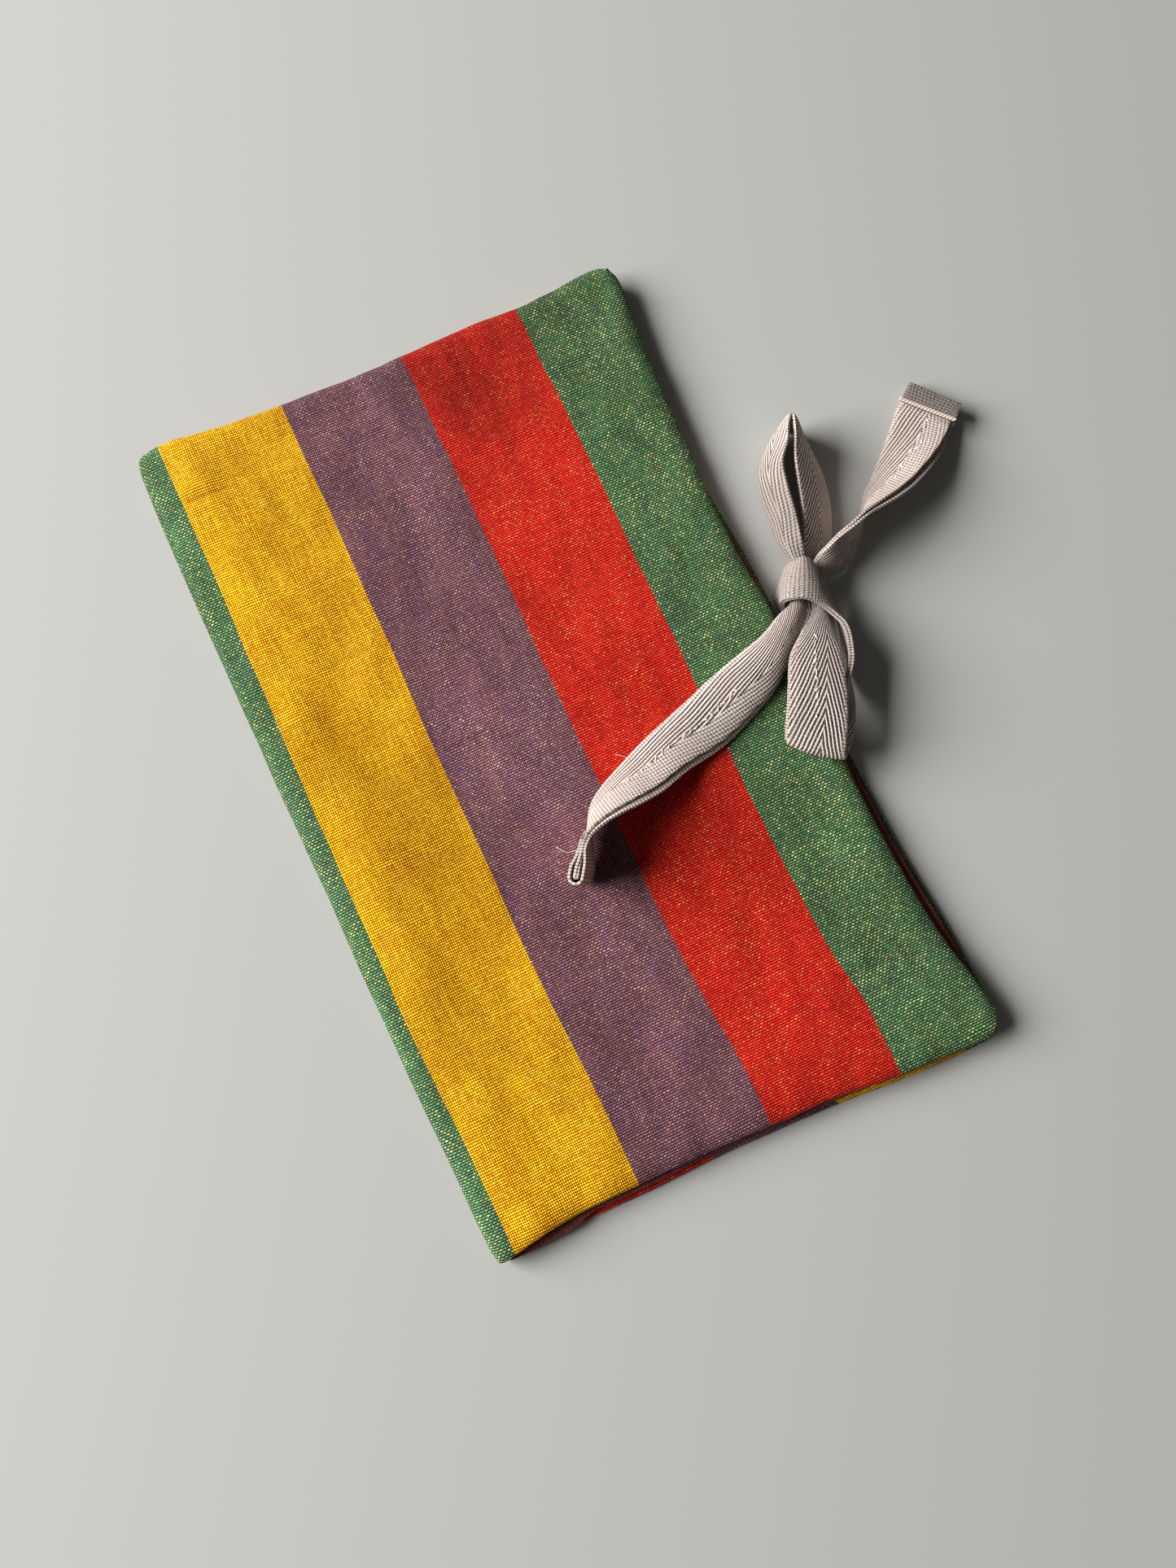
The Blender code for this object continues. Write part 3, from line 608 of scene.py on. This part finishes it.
class Tape:
    """A tape folded lengthwise: its two layers' points, and their places on the flat tape."""

    columns = 13

    def __init__(self, sizes, first_row, stations, hem, opening, twill):
        self.width = sizes.tape_width / MM
        self.thickness = sizes.tape_thickness / MM
        self.step = sizes.tape_step / MM
        self.hem = hem
        open_edge, folded_edge, self.bow = tape_course(first_row, stations, self.step)
        self.middle = (open_edge + folded_edge) / 2
        self.half = (open_edge - folded_edge) / 2
        self.along = unit(np.gradient(self.middle, axis=0))
        self.face = unit(np.cross(self.along, self.half))
        self.fold_back()
        self.run = run_along(self.middle)
        self.points, self.flat = self.lay(opening)
        self.layers = self.weave_layers(twill)
        self.along_end = unit(self.middle[-1] - self.middle[-4])

    def hem_shares(self, from_end):
        """How far a place lies in the hem, and how near it is to the hem's stitched waist."""
        length = self.hem.length
        in_hem = 1 - smooth_step(length * 0.30, length, from_end)
        return in_hem, np.exp(-((from_end - length) / (length * 0.3)) ** 2)

    def fold_back(self):
        """Add the turn at the tape's end and the length that lies back along it."""
        hem = self.hem
        from_end = run_along(self.middle[::-1])
        turns = np.linspace(0, math.pi, HEM_TURN_STEPS + 1)[1:-1, None]
        turn_middle = self.middle[-1] + hem.radius * (
            self.along[-1] * np.sin(turns) + self.face[-1] * hem.side * (1 - np.cos(turns)))
        turn_face = self.face[-1] * np.cos(turns) - self.along[-1] * hem.side * np.sin(turns)
        turn_half = np.repeat(self.half[-1:], len(turns), axis=0)
        returned = np.arange(0, hem.length + hem.knob + self.step / 2, self.step)

        def read_back(values):
            lines = [np.interp(returned, from_end, line) for line in values[::-1].T]
            return np.stack(lines, axis=-1)

        hem_face = unit(read_back(self.face))
        closing = hem.waist * smooth_step(hem.length * 0.25, hem.length, returned)
        stand = 2 * hem.radius * (1 - closing)
        hem_middle = read_back(self.middle) + hem_face * hem.side * stand[:, None]
        laid_in_hem, laid_at_waist = self.hem_shares(from_end[::-1])
        back_in_hem, back_at_waist = self.hem_shares(returned)
        self.middle = np.concatenate([self.middle, turn_middle, hem_middle])
        self.face = np.concatenate([self.face, turn_face, -hem_face])
        self.half = np.concatenate([self.half, turn_half, read_back(self.half)])
        self.bow = np.concatenate([self.bow, np.zeros(len(turns) + len(returned))])
        self.in_hem = np.concatenate([laid_in_hem, np.ones(len(turns)), back_in_hem])
        self.at_waist = np.concatenate([laid_at_waist, np.zeros(len(turns)), back_at_waist])

    def lay(self, opening):
        """Place the two layers' columns, from one open edge round the fold to the other."""
        gap, flare, short = smooth_rows(opening, self.run)
        gap = gap * (1 - 0.5 * self.at_waist)
        flare = flare * (1 - self.at_waist) * (1 - self.in_hem)
        half_gap = (self.thickness + gap) / 2
        fold_share = half_gap / self.width
        columns = []
        flats = []
        for side in (1, -1):
            inner = side == self.hem.side
            open_share = 1 - np.clip(short if inner else -short, 0, None) / self.width
            spread = (self.hem.inner_spread if inner else self.hem.outer_spread) * self.in_hem
            layer = []
            for part in np.linspace(1, 0, self.columns):
                share = fold_share + (open_share - fold_share) * part
                offset = half_gap + flare * part ** 2 + spread * min(1, part * 4)
                flat_share = share
                if part == 1:
                    ridges = np.abs(np.sin(self.run * math.pi / SELVEDGE_PITCH + side))
                    share = share + SELVEDGE_RISE * ridges / self.width
                layer.append((share, side * offset, side * flat_share * self.width))
            for turn in (1 / 6, 1 / 3):
                angle = math.pi * turn
                share = fold_share * (1 - math.sin(angle))
                layer.append((share, side * half_gap * math.cos(angle), side * share * self.width))
            if side < 0:
                layer.reverse()
            for share, offset, across_flat in layer:
                across = 2 * share - 1
                lift = offset + self.bow * (1 - across ** 2)
                aside = self.half * across[:, None] + self.face * lift[:, None]
                columns.append(self.middle + aside)
                flats.append(np.stack([across_flat, self.run], axis=-1))
        return np.stack(columns, axis=1), np.stack(flats, axis=1)

    def weave_layers(self, twill):
        """UV layers for the herringbone: place from its apex and ridge count, pitch, strength."""
        (apex, spacing, fold_pitch, open_pitch, fold_strength, open_strength,
         tone) = smooth_rows(twill, self.run)
        steps = np.diff(self.run, prepend=0)
        count = np.cumsum(steps / spacing)
        shape = self.flat.shape[:2]

        def pair(*parts):
            return np.stack([np.broadcast_to(part.reshape(shape[0], -1), shape)
                             for part in parts], axis=-1)

        aside = np.abs(self.flat[:, :, 0]) - apex[:, None]
        return {"Flat cloth": self.flat, "Twill lines": pair(aside, count),
                "Twill pitch": pair(1 / fold_pitch, 1 / open_pitch),
                "Twill strength": pair(fold_strength, open_strength), "Tape painted shading": pair(tone, tone)}

    def at(self, run, across_flat):
        """The surface point, its outward normal and the direction along, at a flat place."""
        row = int(np.clip(np.searchsorted(self.run, run), 1, len(self.run) - 2))
        flat_row = self.flat[row, :, 0]
        column = int(np.argmin(np.abs(flat_row - across_flat)))
        column = min(max(column, 1), len(flat_row) - 2)
        point = self.points[row, column]
        along = unit(self.points[row + 1, column] - self.points[row - 1, column])
        across = unit(self.points[row, column + 1] - self.points[row, column - 1])
        out = unit(np.cross(along, across))
        if np.dot(out, self.face[row]) * across_flat < 0:
            out = -out
        return point + out * self.thickness / 2, out, along


def thread_piece(name, runs, radius, material, resolution=1):
    """Turn runs of points in millimetres into round threads in one mesh."""
    curve = bpy.data.curves.new(name, "CURVE")
    curve.dimensions = "3D"
    curve.bevel_depth = radius * MM
    curve.bevel_resolution = resolution
    curve.use_fill_caps = True
    curve.resolution_u = 3
    for points in runs:
        spline = curve.splines.new("NURBS")
        spline.points.add(len(points) - 1)
        for knot, point in zip(spline.points, points):
            knot.co = (*(np.asarray(point) * MM), 1.0)
        spline.use_endpoint_u = True
        spline.order_u = min(4, len(points))
    shape = bpy.data.objects.new(name + "_run", curve)
    mesh = bpy.data.meshes.new_from_object(shape)
    bpy.data.objects.remove(shape, do_unlink=True)
    mesh.name = name
    mesh.materials.clear()
    mesh.materials.append(material)
    mesh.shade_smooth()
    return add_object(name, mesh)


class Value:
    """A number or a colour from a material's nodes, with the usual arithmetic."""

    def __init__(self, finish, socket):
        self.finish = finish
        self.socket = socket

    def reckon(self, operation, *others):
        return self.finish.math(operation, self, *others)

    __add__ = partialmethod(reckon, "ADD")
    __sub__ = partialmethod(reckon, "SUBTRACT")
    __mul__ = partialmethod(reckon, "MULTIPLY")
    __truediv__ = partialmethod(reckon, "DIVIDE")
    __pow__ = partialmethod(reckon, "POWER")
    __abs__ = partialmethod(reckon, "ABSOLUTE")


class Finish:
    """A procedural material while its nodes are laid."""

    def __init__(self, name, roughness, sheen, specular):
        self.material = bpy.data.materials.new(name)
        self.material.use_nodes = True
        self.tree = self.material.node_tree
        self.shader = self.tree.nodes["Principled BSDF"]
        self.shader.inputs["Roughness"].default_value = roughness
        self.shader.inputs["Sheen Weight"].default_value = sheen
        self.shader.inputs["Sheen Roughness"].default_value = 0.6
        self.shader.inputs["Specular IOR Level"].default_value = specular

    def node(self, kind, inputs, output=0, **settings):
        """Lay a node, feed its inputs and give one of its outputs."""
        node = self.tree.nodes.new("ShaderNode" + kind)
        for name, setting in settings.items():
            setattr(node, name, setting)
        for key, value in inputs.items():
            if isinstance(value, Value):
                self.tree.links.new(value.socket, node.inputs[key])
            else:
                node.inputs[key].default_value = value
        return Value(self, node.outputs[output])

    def math(self, operation, *values):
        return self.node("Math", dict(enumerate(values)), operation=operation)

    def wave(self, value):
        """A sine whose half wave is one long."""
        return self.math("SINE", value * math.pi)

    def grade(self, value, low, high, to_low=0.0, to_high=1.0):
        inputs = {"Value": value, "From Min": low, "From Max": high, "To Min": to_low,
                  "To Max": to_high}
        return self.node("MapRange", inputs, interpolation_type="SMOOTHSTEP")

    def blend(self, share, first, second, kind="MIX"):
        first, second = (colour if isinstance(colour, Value) else (*colour, 1.0)
                         for colour in (first, second))
        inputs = {0: share, 6: first, 7: second}
        return self.node("Mix", inputs, 2, data_type="RGBA", blend_type=kind)

    def pick(self, share, first, second):
        """A number between two others."""
        return self.node("Mix", {0: share, 2: first, 3: second})

    def shade(self, colour, amount):
        return self.blend(1.0, colour, amount, "MULTIPLY")

    def layer(self, name="Flat cloth"):
        """A UV layer's two numbers; the flat cloth's are its place in millimetres."""
        place = self.node("UVMap", {}, uv_map=name)
        return [self.node("SeparateXYZ", {0: place}, index) * 1000.0 for index in (0, 1)]

    def place(self, across, along):
        return self.node("CombineXYZ", {0: across, 1: along})

    def noise(self, across, along, across_scale, along_scale, detail=2.0):
        """Uneven shade from 0 to 1 that changes over the given distances in millimetres."""
        place = self.place(across / across_scale, along / along_scale)
        inputs = {"Vector": place, "Scale": 1.0, "Detail": detail}
        return self.node("TexNoise", inputs, noise_dimensions="2D")

    def grain(self, scale):
        """Noise through the object from 0 to 1."""
        place = self.node("TexCoord", {}, "Object")
        return self.node("TexNoise", {"Vector": place, "Scale": scale})

    def chance(self, first, second=0.0):
        """A random number from 0 to 1 for each pair of whole numbers."""
        inputs = {"Vector": self.place(first, second)}
        return self.node("TexWhiteNoise", inputs, noise_dimensions="2D")

    def patch(self, across, along, middle_across, middle_along, wide, long):
        """A soft round place: 1 in its middle, 0 past its reach each way."""
        past_x = (across - middle_across) / wide
        past_y = (along - middle_along) / long
        return self.grade(past_x * past_x + past_y * past_y, 0.0, 1.0, 1.0, 0.0)

    def stripes(self, across, colours):
        """A colour for each stripe of the cover."""
        low, high = STRIPES[0][0], 100.0
        colour = self.node("ValToRGB", {0: (across - low) / (high - low)})
        ramp = colour.socket.node.color_ramp
        ramp.interpolation = "CONSTANT"
        stops = ramp.elements
        stops.remove(stops[-1])
        stops[0].color = (*colours[STRIPES[0][1]], 1.0)
        for start, name in STRIPES[1:]:
            stops.new((start - low) / (high - low)).color = (*colours[name], 1.0)
        return colour

    def relief(self, height, distance):
        bump = self.node("Bump", {"Height": height, "Distance": distance * MM})
        self.tree.links.new(bump.socket, self.shader.inputs["Normal"])

    def finish(self, colour):
        self.tree.links.new(colour.socket, self.shader.inputs["Base Color"])
        return self.material


def plain_weave(finish, across, along, warp_pitch, weft_pitch, weft_level):
    """Yarns over and under each other: height, the weft's share, and each yarn's number."""
    waver = finish.noise(across, along, 7.0, 24.0, 1.0) - 0.5
    warp = waver * 1.2 + across / warp_pitch
    lift = finish.noise(across, along, 24.0, 7.0, 1.0) - 0.5
    weft = lift * 1.2 + along / weft_pitch
    warp_number = finish.math("FLOOR", warp)
    weft_number = finish.math("FLOOR", weft)
    warp_wave = finish.wave(warp)
    weft_wave = finish.wave(weft)
    warp_rise = weft_wave * finish.math("COSINE", warp_number * math.pi)
    weft_rise = warp_wave * finish.math("COSINE", weft_number * math.pi)
    thick = finish.chance(warp_number, weft_number) - 0.5
    warp_full = finish.noise(warp_number, along, 0.37, 6.0, 1.0) - 0.5
    weft_full = finish.noise(across, weft_number, 3.0, 0.37, 1.0) - 0.5
    warp_height = warp_rise * 0.45 + abs(warp_wave) + warp_full * 0.30
    weft_height = abs(weft_wave) ** 1.6 * 0.92 + weft_level - weft_rise * 0.45
    weft_height = weft_height + weft_full * 0.24 + thick * 0.30
    weft_share = finish.grade(weft_height - warp_height, -0.12, 0.18)
    between_rows = finish.math("SUBTRACT", 1.0, abs(weft_wave)) ** 2.0
    height = finish.math("MAXIMUM", warp_height, weft_height) + thick * 0.20 - between_rows * 0.55
    return height, weft_share, warp_number, weft_number


def striped_canvas(colours):
    """Matt plain weave with striped warp and a golden weft that shows as flecks."""
    finish = Finish("striped_canvas_cloth", 0.85, 0.02, 0.10)
    across, along = finish.layer()
    height, weft_share, warp_number, weft_number = plain_weave(
        finish, across, along, WARP_PITCH, WEFT_PITCH, -0.10)
    snapped = (warp_number + 0.5) * WARP_PITCH
    tones = {name: (getattr(colours, name), *CANVAS_TONES[name]) for name in CANVAS_TONES}
    warp_tone, patch_tone, fleck_tone, spot_tone = (
        finish.stripes(snapped, {name: row[index] for name, row in tones.items()})
        for index in range(4))

    patches = finish.grade(finish.noise(across, along, 6.0, 22.0, 1.0), 0.42, 0.62)
    base = finish.blend(patches * 0.62, warp_tone, patch_tone)
    warp_streak = finish.grade(finish.noise(warp_number, along, 1.0, 22.0), 0.3, 0.7)
    base = finish.shade(base, finish.blend(warp_streak, *WARP_STREAK))

    golden = finish.grade(finish.noise(across, along, 4.0, 15.0), 0.44, 0.62)
    for place in GOLDEN:
        golden = finish.math("MAXIMUM", golden, finish.patch(across, along, *place))
    one_in_few = finish.grade(finish.chance(weft_number, warp_number), 0.45, 1.0)
    fleck = finish.blend((golden * 0.50 + 0.36) * one_in_few, fleck_tone, spot_tone)
    weft_streak = finish.grade(finish.noise(across, weft_number, 30.0, 1.0, 1.0), 0.3, 0.7)
    fleck = finish.shade(fleck, finish.blend(weft_streak, *WEFT_STREAK))
    colour = finish.blend(weft_share, base, fleck)

    # Painted shade in the yarns' valleys and painted light on their crests
    depth = finish.grade(height, 0.20, 1.30)
    colour = finish.shade(colour, finish.blend(depth, *CANVAS_PAINTED_DEPTH))
    # Painted highlight on the highest crests
    crest = finish.grade(height, 1.0, 1.55, 0.0, 0.06)
    colour = finish.blend(crest, colour, CREST_HIGHLIGHT)
    broad = finish.grade(finish.noise(across, along, 26.0, 34.0, 1.0), 0.3, 0.7, 0.92, 1.08)
    colour = finish.shade(colour, broad)
    # Painted light and shade in broad places, along two creases and on the back leaf's rim
    for *place, tone in PAINTED_LIGHT_AND_SHADE:
        share = finish.patch(across, along, *place)
        colour = finish.shade(colour, finish.pick(share, 1.0, tone))
    # Painted shade where the canvas turns round the fold, on both leaves
    front_of_fold = finish.grade(across, -80.0, -73.0, FOLD_PAINTED_SHADE, 1.0)
    back_of_fold = finish.grade(across, -88.0, -82.0, 1.0, FOLD_PAINTED_SHADE)
    colour = finish.shade(colour, finish.math("MAXIMUM", front_of_fold, back_of_fold))
    finish.relief(height, 0.15)
    return finish.finish(colour)


def plum_lining(colours):
    """Fine matt plain weave in dark plum."""
    finish = Finish("plum_lining_cloth", 0.9, 0.12, 0.12)
    across, along = finish.layer()
    height, weft_share, warp_number = plain_weave(
        finish, across, along, LINING_PITCH, LINING_PITCH, -0.05)[:3]
    light = tuple(min(1.0, part * 1.7) for part in colours.lining)
    colour = finish.blend(weft_share, colours.lining, light)
    streak = finish.grade(finish.noise(warp_number, along, 1.0, 12.0), 0.3, 0.7, 0.75, 1.2)
    colour = finish.shade(colour, streak)
    # Painted shade between the yarns and painted light on their crests
    colour = finish.shade(colour, finish.grade(height, 0.3, 1.15, 0.5, 1.1))
    finish.relief(height, 0.12)
    return finish.finish(colour)


def twill_tape(colours, look, flap_run):
    """Herringbone twill: ridges that rise to both sides from a line along each layer."""
    finish = Finish(look.name, 0.85, 0.10, 0.12)
    across, along = finish.layer()
    aside, count = finish.layer("Twill lines")
    fold_rate, open_rate = finish.layer("Twill pitch")
    fold_strength, open_strength = finish.layer("Twill strength")
    tone = finish.layer("Tape painted shading")[0]
    open_half = finish.grade(aside, -1.2, 1.2)
    rate = finish.pick(open_half, fold_rate, open_rate)
    waver = finish.noise(across, along, 4.0, 9.0) - 0.5
    ridge_count = waver * 0.35 + (abs(aside) * rate + count)
    ridge = finish.wave(ridge_count) ** 2.0
    strength = finish.pick(open_half, fold_strength, open_strength)
    strength *= finish.grade(
        abs(across), look.smooth_from, look.smooth_from + 0.6, 1.0, 0.0)
    strength *= finish.grade(abs(across), 0.5, 1.8, 0.25, 1.0)
    rib = abs(finish.wave(along / RIB_PITCH))
    speck = finish.noise(across, along, 0.5, 0.5) - 0.5
    height = rib * (strength * -0.32 + 0.46) + finish.pick(strength, 0.30, ridge) + speck * 0.6
    # Painted shade in the twill's valleys and painted light on its ridges
    crest = finish.grade(height, 0.12, 0.84)
    colour = finish.blend(crest, colours.shaded_tape_valley, colours.lit_tape_ridge)
    # Painted light and shade along the tape's run
    colour = finish.shade(colour, tone)
    yarn = finish.grade(finish.chance(finish.math("FLOOR", ridge_count)), 0.0, 1.0, 0.86, 1.10)
    colour = finish.shade(colour, finish.pick(strength, 1.0, yarn))
    wash = finish.grade(finish.noise(across, along, 7.0, 18.0, 3.0), 0.35, 0.7)
    colour = finish.blend(wash * 0.22, colour, WASHED_TONE)
    if look.flap_shade < 1:
        flap = finish.grade(along, flap_run, flap_run + 0.6, 1.0, look.flap_shade)
        colour = finish.shade(colour, flap)
    finish.relief(height, 0.26)
    return finish.finish(colour)


def thread_finish(name, colour):
    """Twisted sewing thread."""
    finish = Finish(name, 0.7, 0.2, 0.3)
    grain = finish.grain(2500.0)
    finish.relief(grain, 0.05)
    return finish.finish(finish.blend(grain, [part * 0.7 for part in colour], colour))


def floor_finish(colour):
    """Plain pale floor."""
    finish = Finish("pale_floor", 0.9, 0.0, 0.1)
    dark = [part * 0.985 for part in colour]
    return finish.finish(finish.blend(finish.grain(2.0), dark, colour))


class POUCH_OT_add_cover(bpy.types.Operator):
    """Add the striped cover, folded like a book"""

    bl_idname = "pouch.add_cover"
    bl_label = "Add cover"

    def execute(self, context):
        sizes = context.scene.pouch_sizes
        colours = context.scene.pouch_colours
        leaves = Leaves(sizes)
        points, flat = leaves.folded_sheet(
            0.0, leaves.cover_back, leaves.cover_front, COVER_FOLD_STEPS)
        material = striped_canvas(colours)
        piece = grid_piece("outer_cover_cloth", points, {"Flat cloth": flat}, material)
        thicken(piece, sizes.cover_thickness / MM, COVER_ROUNDING)
        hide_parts("outer_cover")
        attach(piece, "root")
        self.add_threads(leaves, colours)
        return {"FINISHED"}

    def add_threads(self, leaves, colours):
        """Lay loose threads on the front leaf, and a painted-highlight thread on its lower rim."""
        draw = np.random.default_rng(5)
        runs = []
        for places in LOOSE_THREADS:
            x, y = np.array(places).T
            up = leaves.front_height(x, y, leaves.cover_front + LOOSE_LIFT)
            up = up + draw.uniform(0.0, 0.25, len(x))
            runs.append(np.stack([x, y, up], axis=-1))
        loose = thread_piece(
            "loose_threads", runs, LOOSE_RADIUS, thread_finish("loose_thread", colours.thread))
        # A pale thread below the front leaf's lower rim: painted highlight where the rim catches
        # light
        x = np.arange(RIM_HIGHLIGHT_START, RIM_HIGHLIGHT_END, RIM_HIGHLIGHT_PITCH)
        y = leaves.bottom(FRONT_LEAF, x) - RIM_HIGHLIGHT_BELOW
        up = leaves.front_height(x, y, leaves.cover_front) - RIM_HIGHLIGHT_INSIDE
        up = up + draw.uniform(-0.06, 0.06, len(x))
        y = y + draw.uniform(-0.07, 0.07, len(x))
        seam = thread_piece("rim_highlight_threads", [np.stack([x, y, up], axis=-1)], RIM_HIGHLIGHT_RADIUS,
                            thread_finish("rim_highlight_thread", colours.seam))
        for piece in (loose, seam):
            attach(piece, "root")


class POUCH_OT_add_lining(bpy.types.Operator):
    """Add the plum lining inside the cover"""

    bl_idname = "pouch.add_lining"
    bl_label = "Add lining"

    def execute(self, context):
        sizes = context.scene.pouch_sizes
        leaves = Leaves(sizes)
        points, flat = leaves.folded_sheet(
            sizes.lining_inset / MM, leaves.lining_back, leaves.lining_front, LINING_FOLD_STEPS)
        material = plum_lining(context.scene.pouch_colours)
        piece = grid_piece("lining_cloth", points, {"Flat cloth": flat}, material)
        thicken(piece, sizes.lining_thickness / MM, LINING_ROUNDING)
        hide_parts("lining")
        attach(piece, "root")
        return {"FINISHED"}


class POUCH_OT_add_ties(bpy.types.Operator):
    """Add the two tapes tied into a bow, with their stitches"""

    bl_idname = "pouch.add_ties"
    bl_label = "Add ties"

    def execute(self, context):
        sizes = context.scene.pouch_sizes
        colours = context.scene.pouch_colours
        leaves = Leaves(sizes)
        tapes = {}
        for name, leaf, seam, stations, hem, opening, twill, look in (
                ("tie_front", FRONT_LEAF, TIE_FRONT_SEAM, TIE_FRONT, FRONT_HEM, FRONT_OPENING,
                 FRONT_TWILL, FRONT_LOOK),
                ("tie_back", BACK_LEAF, TIE_BACK_SEAM, TIE_BACK, BACK_HEM, BACK_OPENING,
                 BACK_TWILL, BACK_LOOK)):
            tape = Tape(sizes, seam_row(leaves, leaf, seam), stations, hem, opening, twill)
            material = twill_tape(colours, look, tape.run[-1] - hem.length - 1.0)
            piece = grid_piece(name + "_tape", tape.points, tape.layers, material)
            thicken(piece, tape.thickness, TAPE_ROUNDING, even=False)
            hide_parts(name)
            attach(piece, "root")
            tapes[name] = tape
        self.add_stitches(tapes, colours)
        self.add_cord(tapes["tie_back"], colours)
        return {"FINISHED"}

    def add_cord(self, tape, colours):
        """Twist two strands along the folded-back end's free edge."""
        edge = tape.points[-1, :tape.columns]
        out = tape.face[-1]
        beyond = unit(edge[-1] - edge[-2])
        line = np.concatenate([edge, [edge[-1] + beyond * 0.9]])
        line = line + out * (tape.thickness / 2 + 0.38) + tape.along_end * 0.25
        steps = run_along(line)
        places = np.arange(0, steps[-1], 0.2)
        middle = np.stack([np.interp(places, steps, part) for part in line.T], axis=-1)
        aside = unit(np.cross(out, unit(line[-1] - line[0])))
        runs = []
        for start in (0, math.pi):
            turn = (places * 2 * math.pi / STRAND_TWIST + start)[:, None]
            runs.append(middle + STRAND_PLACE * (np.cos(turn) * out + np.sin(turn) * aside))
        material = thread_finish("cord_thread", colours.cord)
        piece = thread_piece("hem_cord", runs, STRAND_RADIUS, material, 2)
        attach(piece, "root")

    def add_stitches(self, tapes, colours):
        """Lay short stitches along the middle of the tapes' faces."""
        draw = np.random.default_rng(11)
        runs = []
        for name, side, start, end, across_start, across_end in STITCH_ROWS:
            tape = tapes[name]
            for place in np.arange(start, end, STITCH_PITCH):
                share = (place - start) / (end - start)
                across = across_start + (across_end - across_start) * share
                across = side * (across + draw.uniform(-STITCH_STRAY, STITCH_STRAY))
                place = place + draw.uniform(-STITCH_STRAY, STITCH_STRAY)
                point, out, along = tape.at(place, across)
                aside = np.cross(out, along)
                lean = unit(along * 0.8 + aside * draw.uniform(-STITCH_LEAN, STITCH_LEAN))
                reach = draw.uniform(*STITCH_REACH)
                runs.append([point + lean * reach * part + out * lift for part, lift in (
                    (-1, -0.1), (-0.4, 0.22), (0.4, 0.22), (1, -0.1))])
        material = thread_finish("stitch_thread", colours.thread)
        piece = thread_piece("tape_stitches", runs, STITCH_RADIUS, material)
        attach(piece, "root")


class POUCH_OT_add_stage(bpy.types.Operator):
    """Add the camera, the floor and the soft lights"""

    bl_idname = "pouch.add_stage"
    bl_label = "Add stage"

    def execute(self, context):
        stage = context.scene.pouch_stage
        scene = context.scene
        view = bpy.data.cameras.new("view")
        view.lens = CAMERA_LENS
        view.sensor_width = 36.0
        view.clip_start = 0.01
        camera = add_object("view", view)
        camera.location = CAMERA_PLACE
        camera.rotation_euler = Euler([math.radians(angle) for angle in CAMERA_TURN])
        scene.camera = camera

        grid = bmesh.new()
        bmesh.ops.create_grid(grid, x_segments=1, y_segments=1, size=stage.floor_size / 2)
        mesh = bpy.data.meshes.new("floor")
        grid.to_mesh(mesh)
        grid.free()
        mesh.materials.append(floor_finish(stage.floor_colour))
        floor = add_object("floor", mesh)

        window = bpy.data.lights.new("window", "AREA")
        window.shape = "RECTANGLE"
        window.size, window.size_y = LIGHT_SIZE
        window.energy = stage.key_power
        window.color = (1.0, 0.985, 0.96)
        light = add_object("window", window)
        light.location = LIGHT_PLACE
        ray = Vector(LIGHT_AIM) - Vector(LIGHT_PLACE)
        light.rotation_euler = ray.to_track_quat("-Z", "Y").to_euler()

        world = bpy.data.worlds.new("soft_room")
        world.use_nodes = True
        sky = world.node_tree.nodes["Background"]
        sky.inputs["Color"].default_value = (1.0, 0.94, 0.85, 1.0)
        sky.inputs["Strength"].default_value = stage.fill
        scene.world = world
        scene.view_settings.view_transform = "Standard"
        return {"FINISHED"}


class POUCH_PT_panel(bpy.types.Panel):
    """Lists the pouch's sizes, colours and pieces"""

    bl_label = "Tied cloth pouch"
    bl_idname = "POUCH_PT_panel"
    bl_space_type = "VIEW_3D"
    bl_region_type = "UI"
    bl_category = "Pouch"

    def draw(self, context):
        for group_name, _ in GROUPS:
            group = getattr(context.scene, group_name)
            box = self.layout.box()
            for name in group.bl_rna.properties.keys():
                if name not in ("rna_type", "name"):
                    box.prop(group, name)
        for operator in PIECES:
            self.layout.operator(operator.bl_idname)


GROUPS = (("pouch_sizes", PouchSizes), ("pouch_colours", PouchColours), ("pouch_stage", PouchStage))
PIECES = (POUCH_OT_add_stage, POUCH_OT_add_cover, POUCH_OT_add_lining, POUCH_OT_add_ties)


def register():
    for name, group in GROUPS:
        bpy.utils.register_class(group)
        setattr(bpy.types.Scene, name, PointerProperty(type=group))
    for operator in PIECES:
        bpy.utils.register_class(operator)
    bpy.utils.register_class(POUCH_PT_panel)


def unregister():
    bpy.utils.unregister_class(POUCH_PT_panel)
    for operator in reversed(PIECES):
        bpy.utils.unregister_class(operator)
    for name, group in reversed(GROUPS):
        delattr(bpy.types.Scene, name)
        bpy.utils.unregister_class(group)


def main():
    register()
    bpy.ops.pouch.add_stage()
    bpy.ops.pouch.add_cover()
    bpy.ops.pouch.add_lining()
    bpy.ops.pouch.add_ties()


if __name__ == "__main__":
    main()
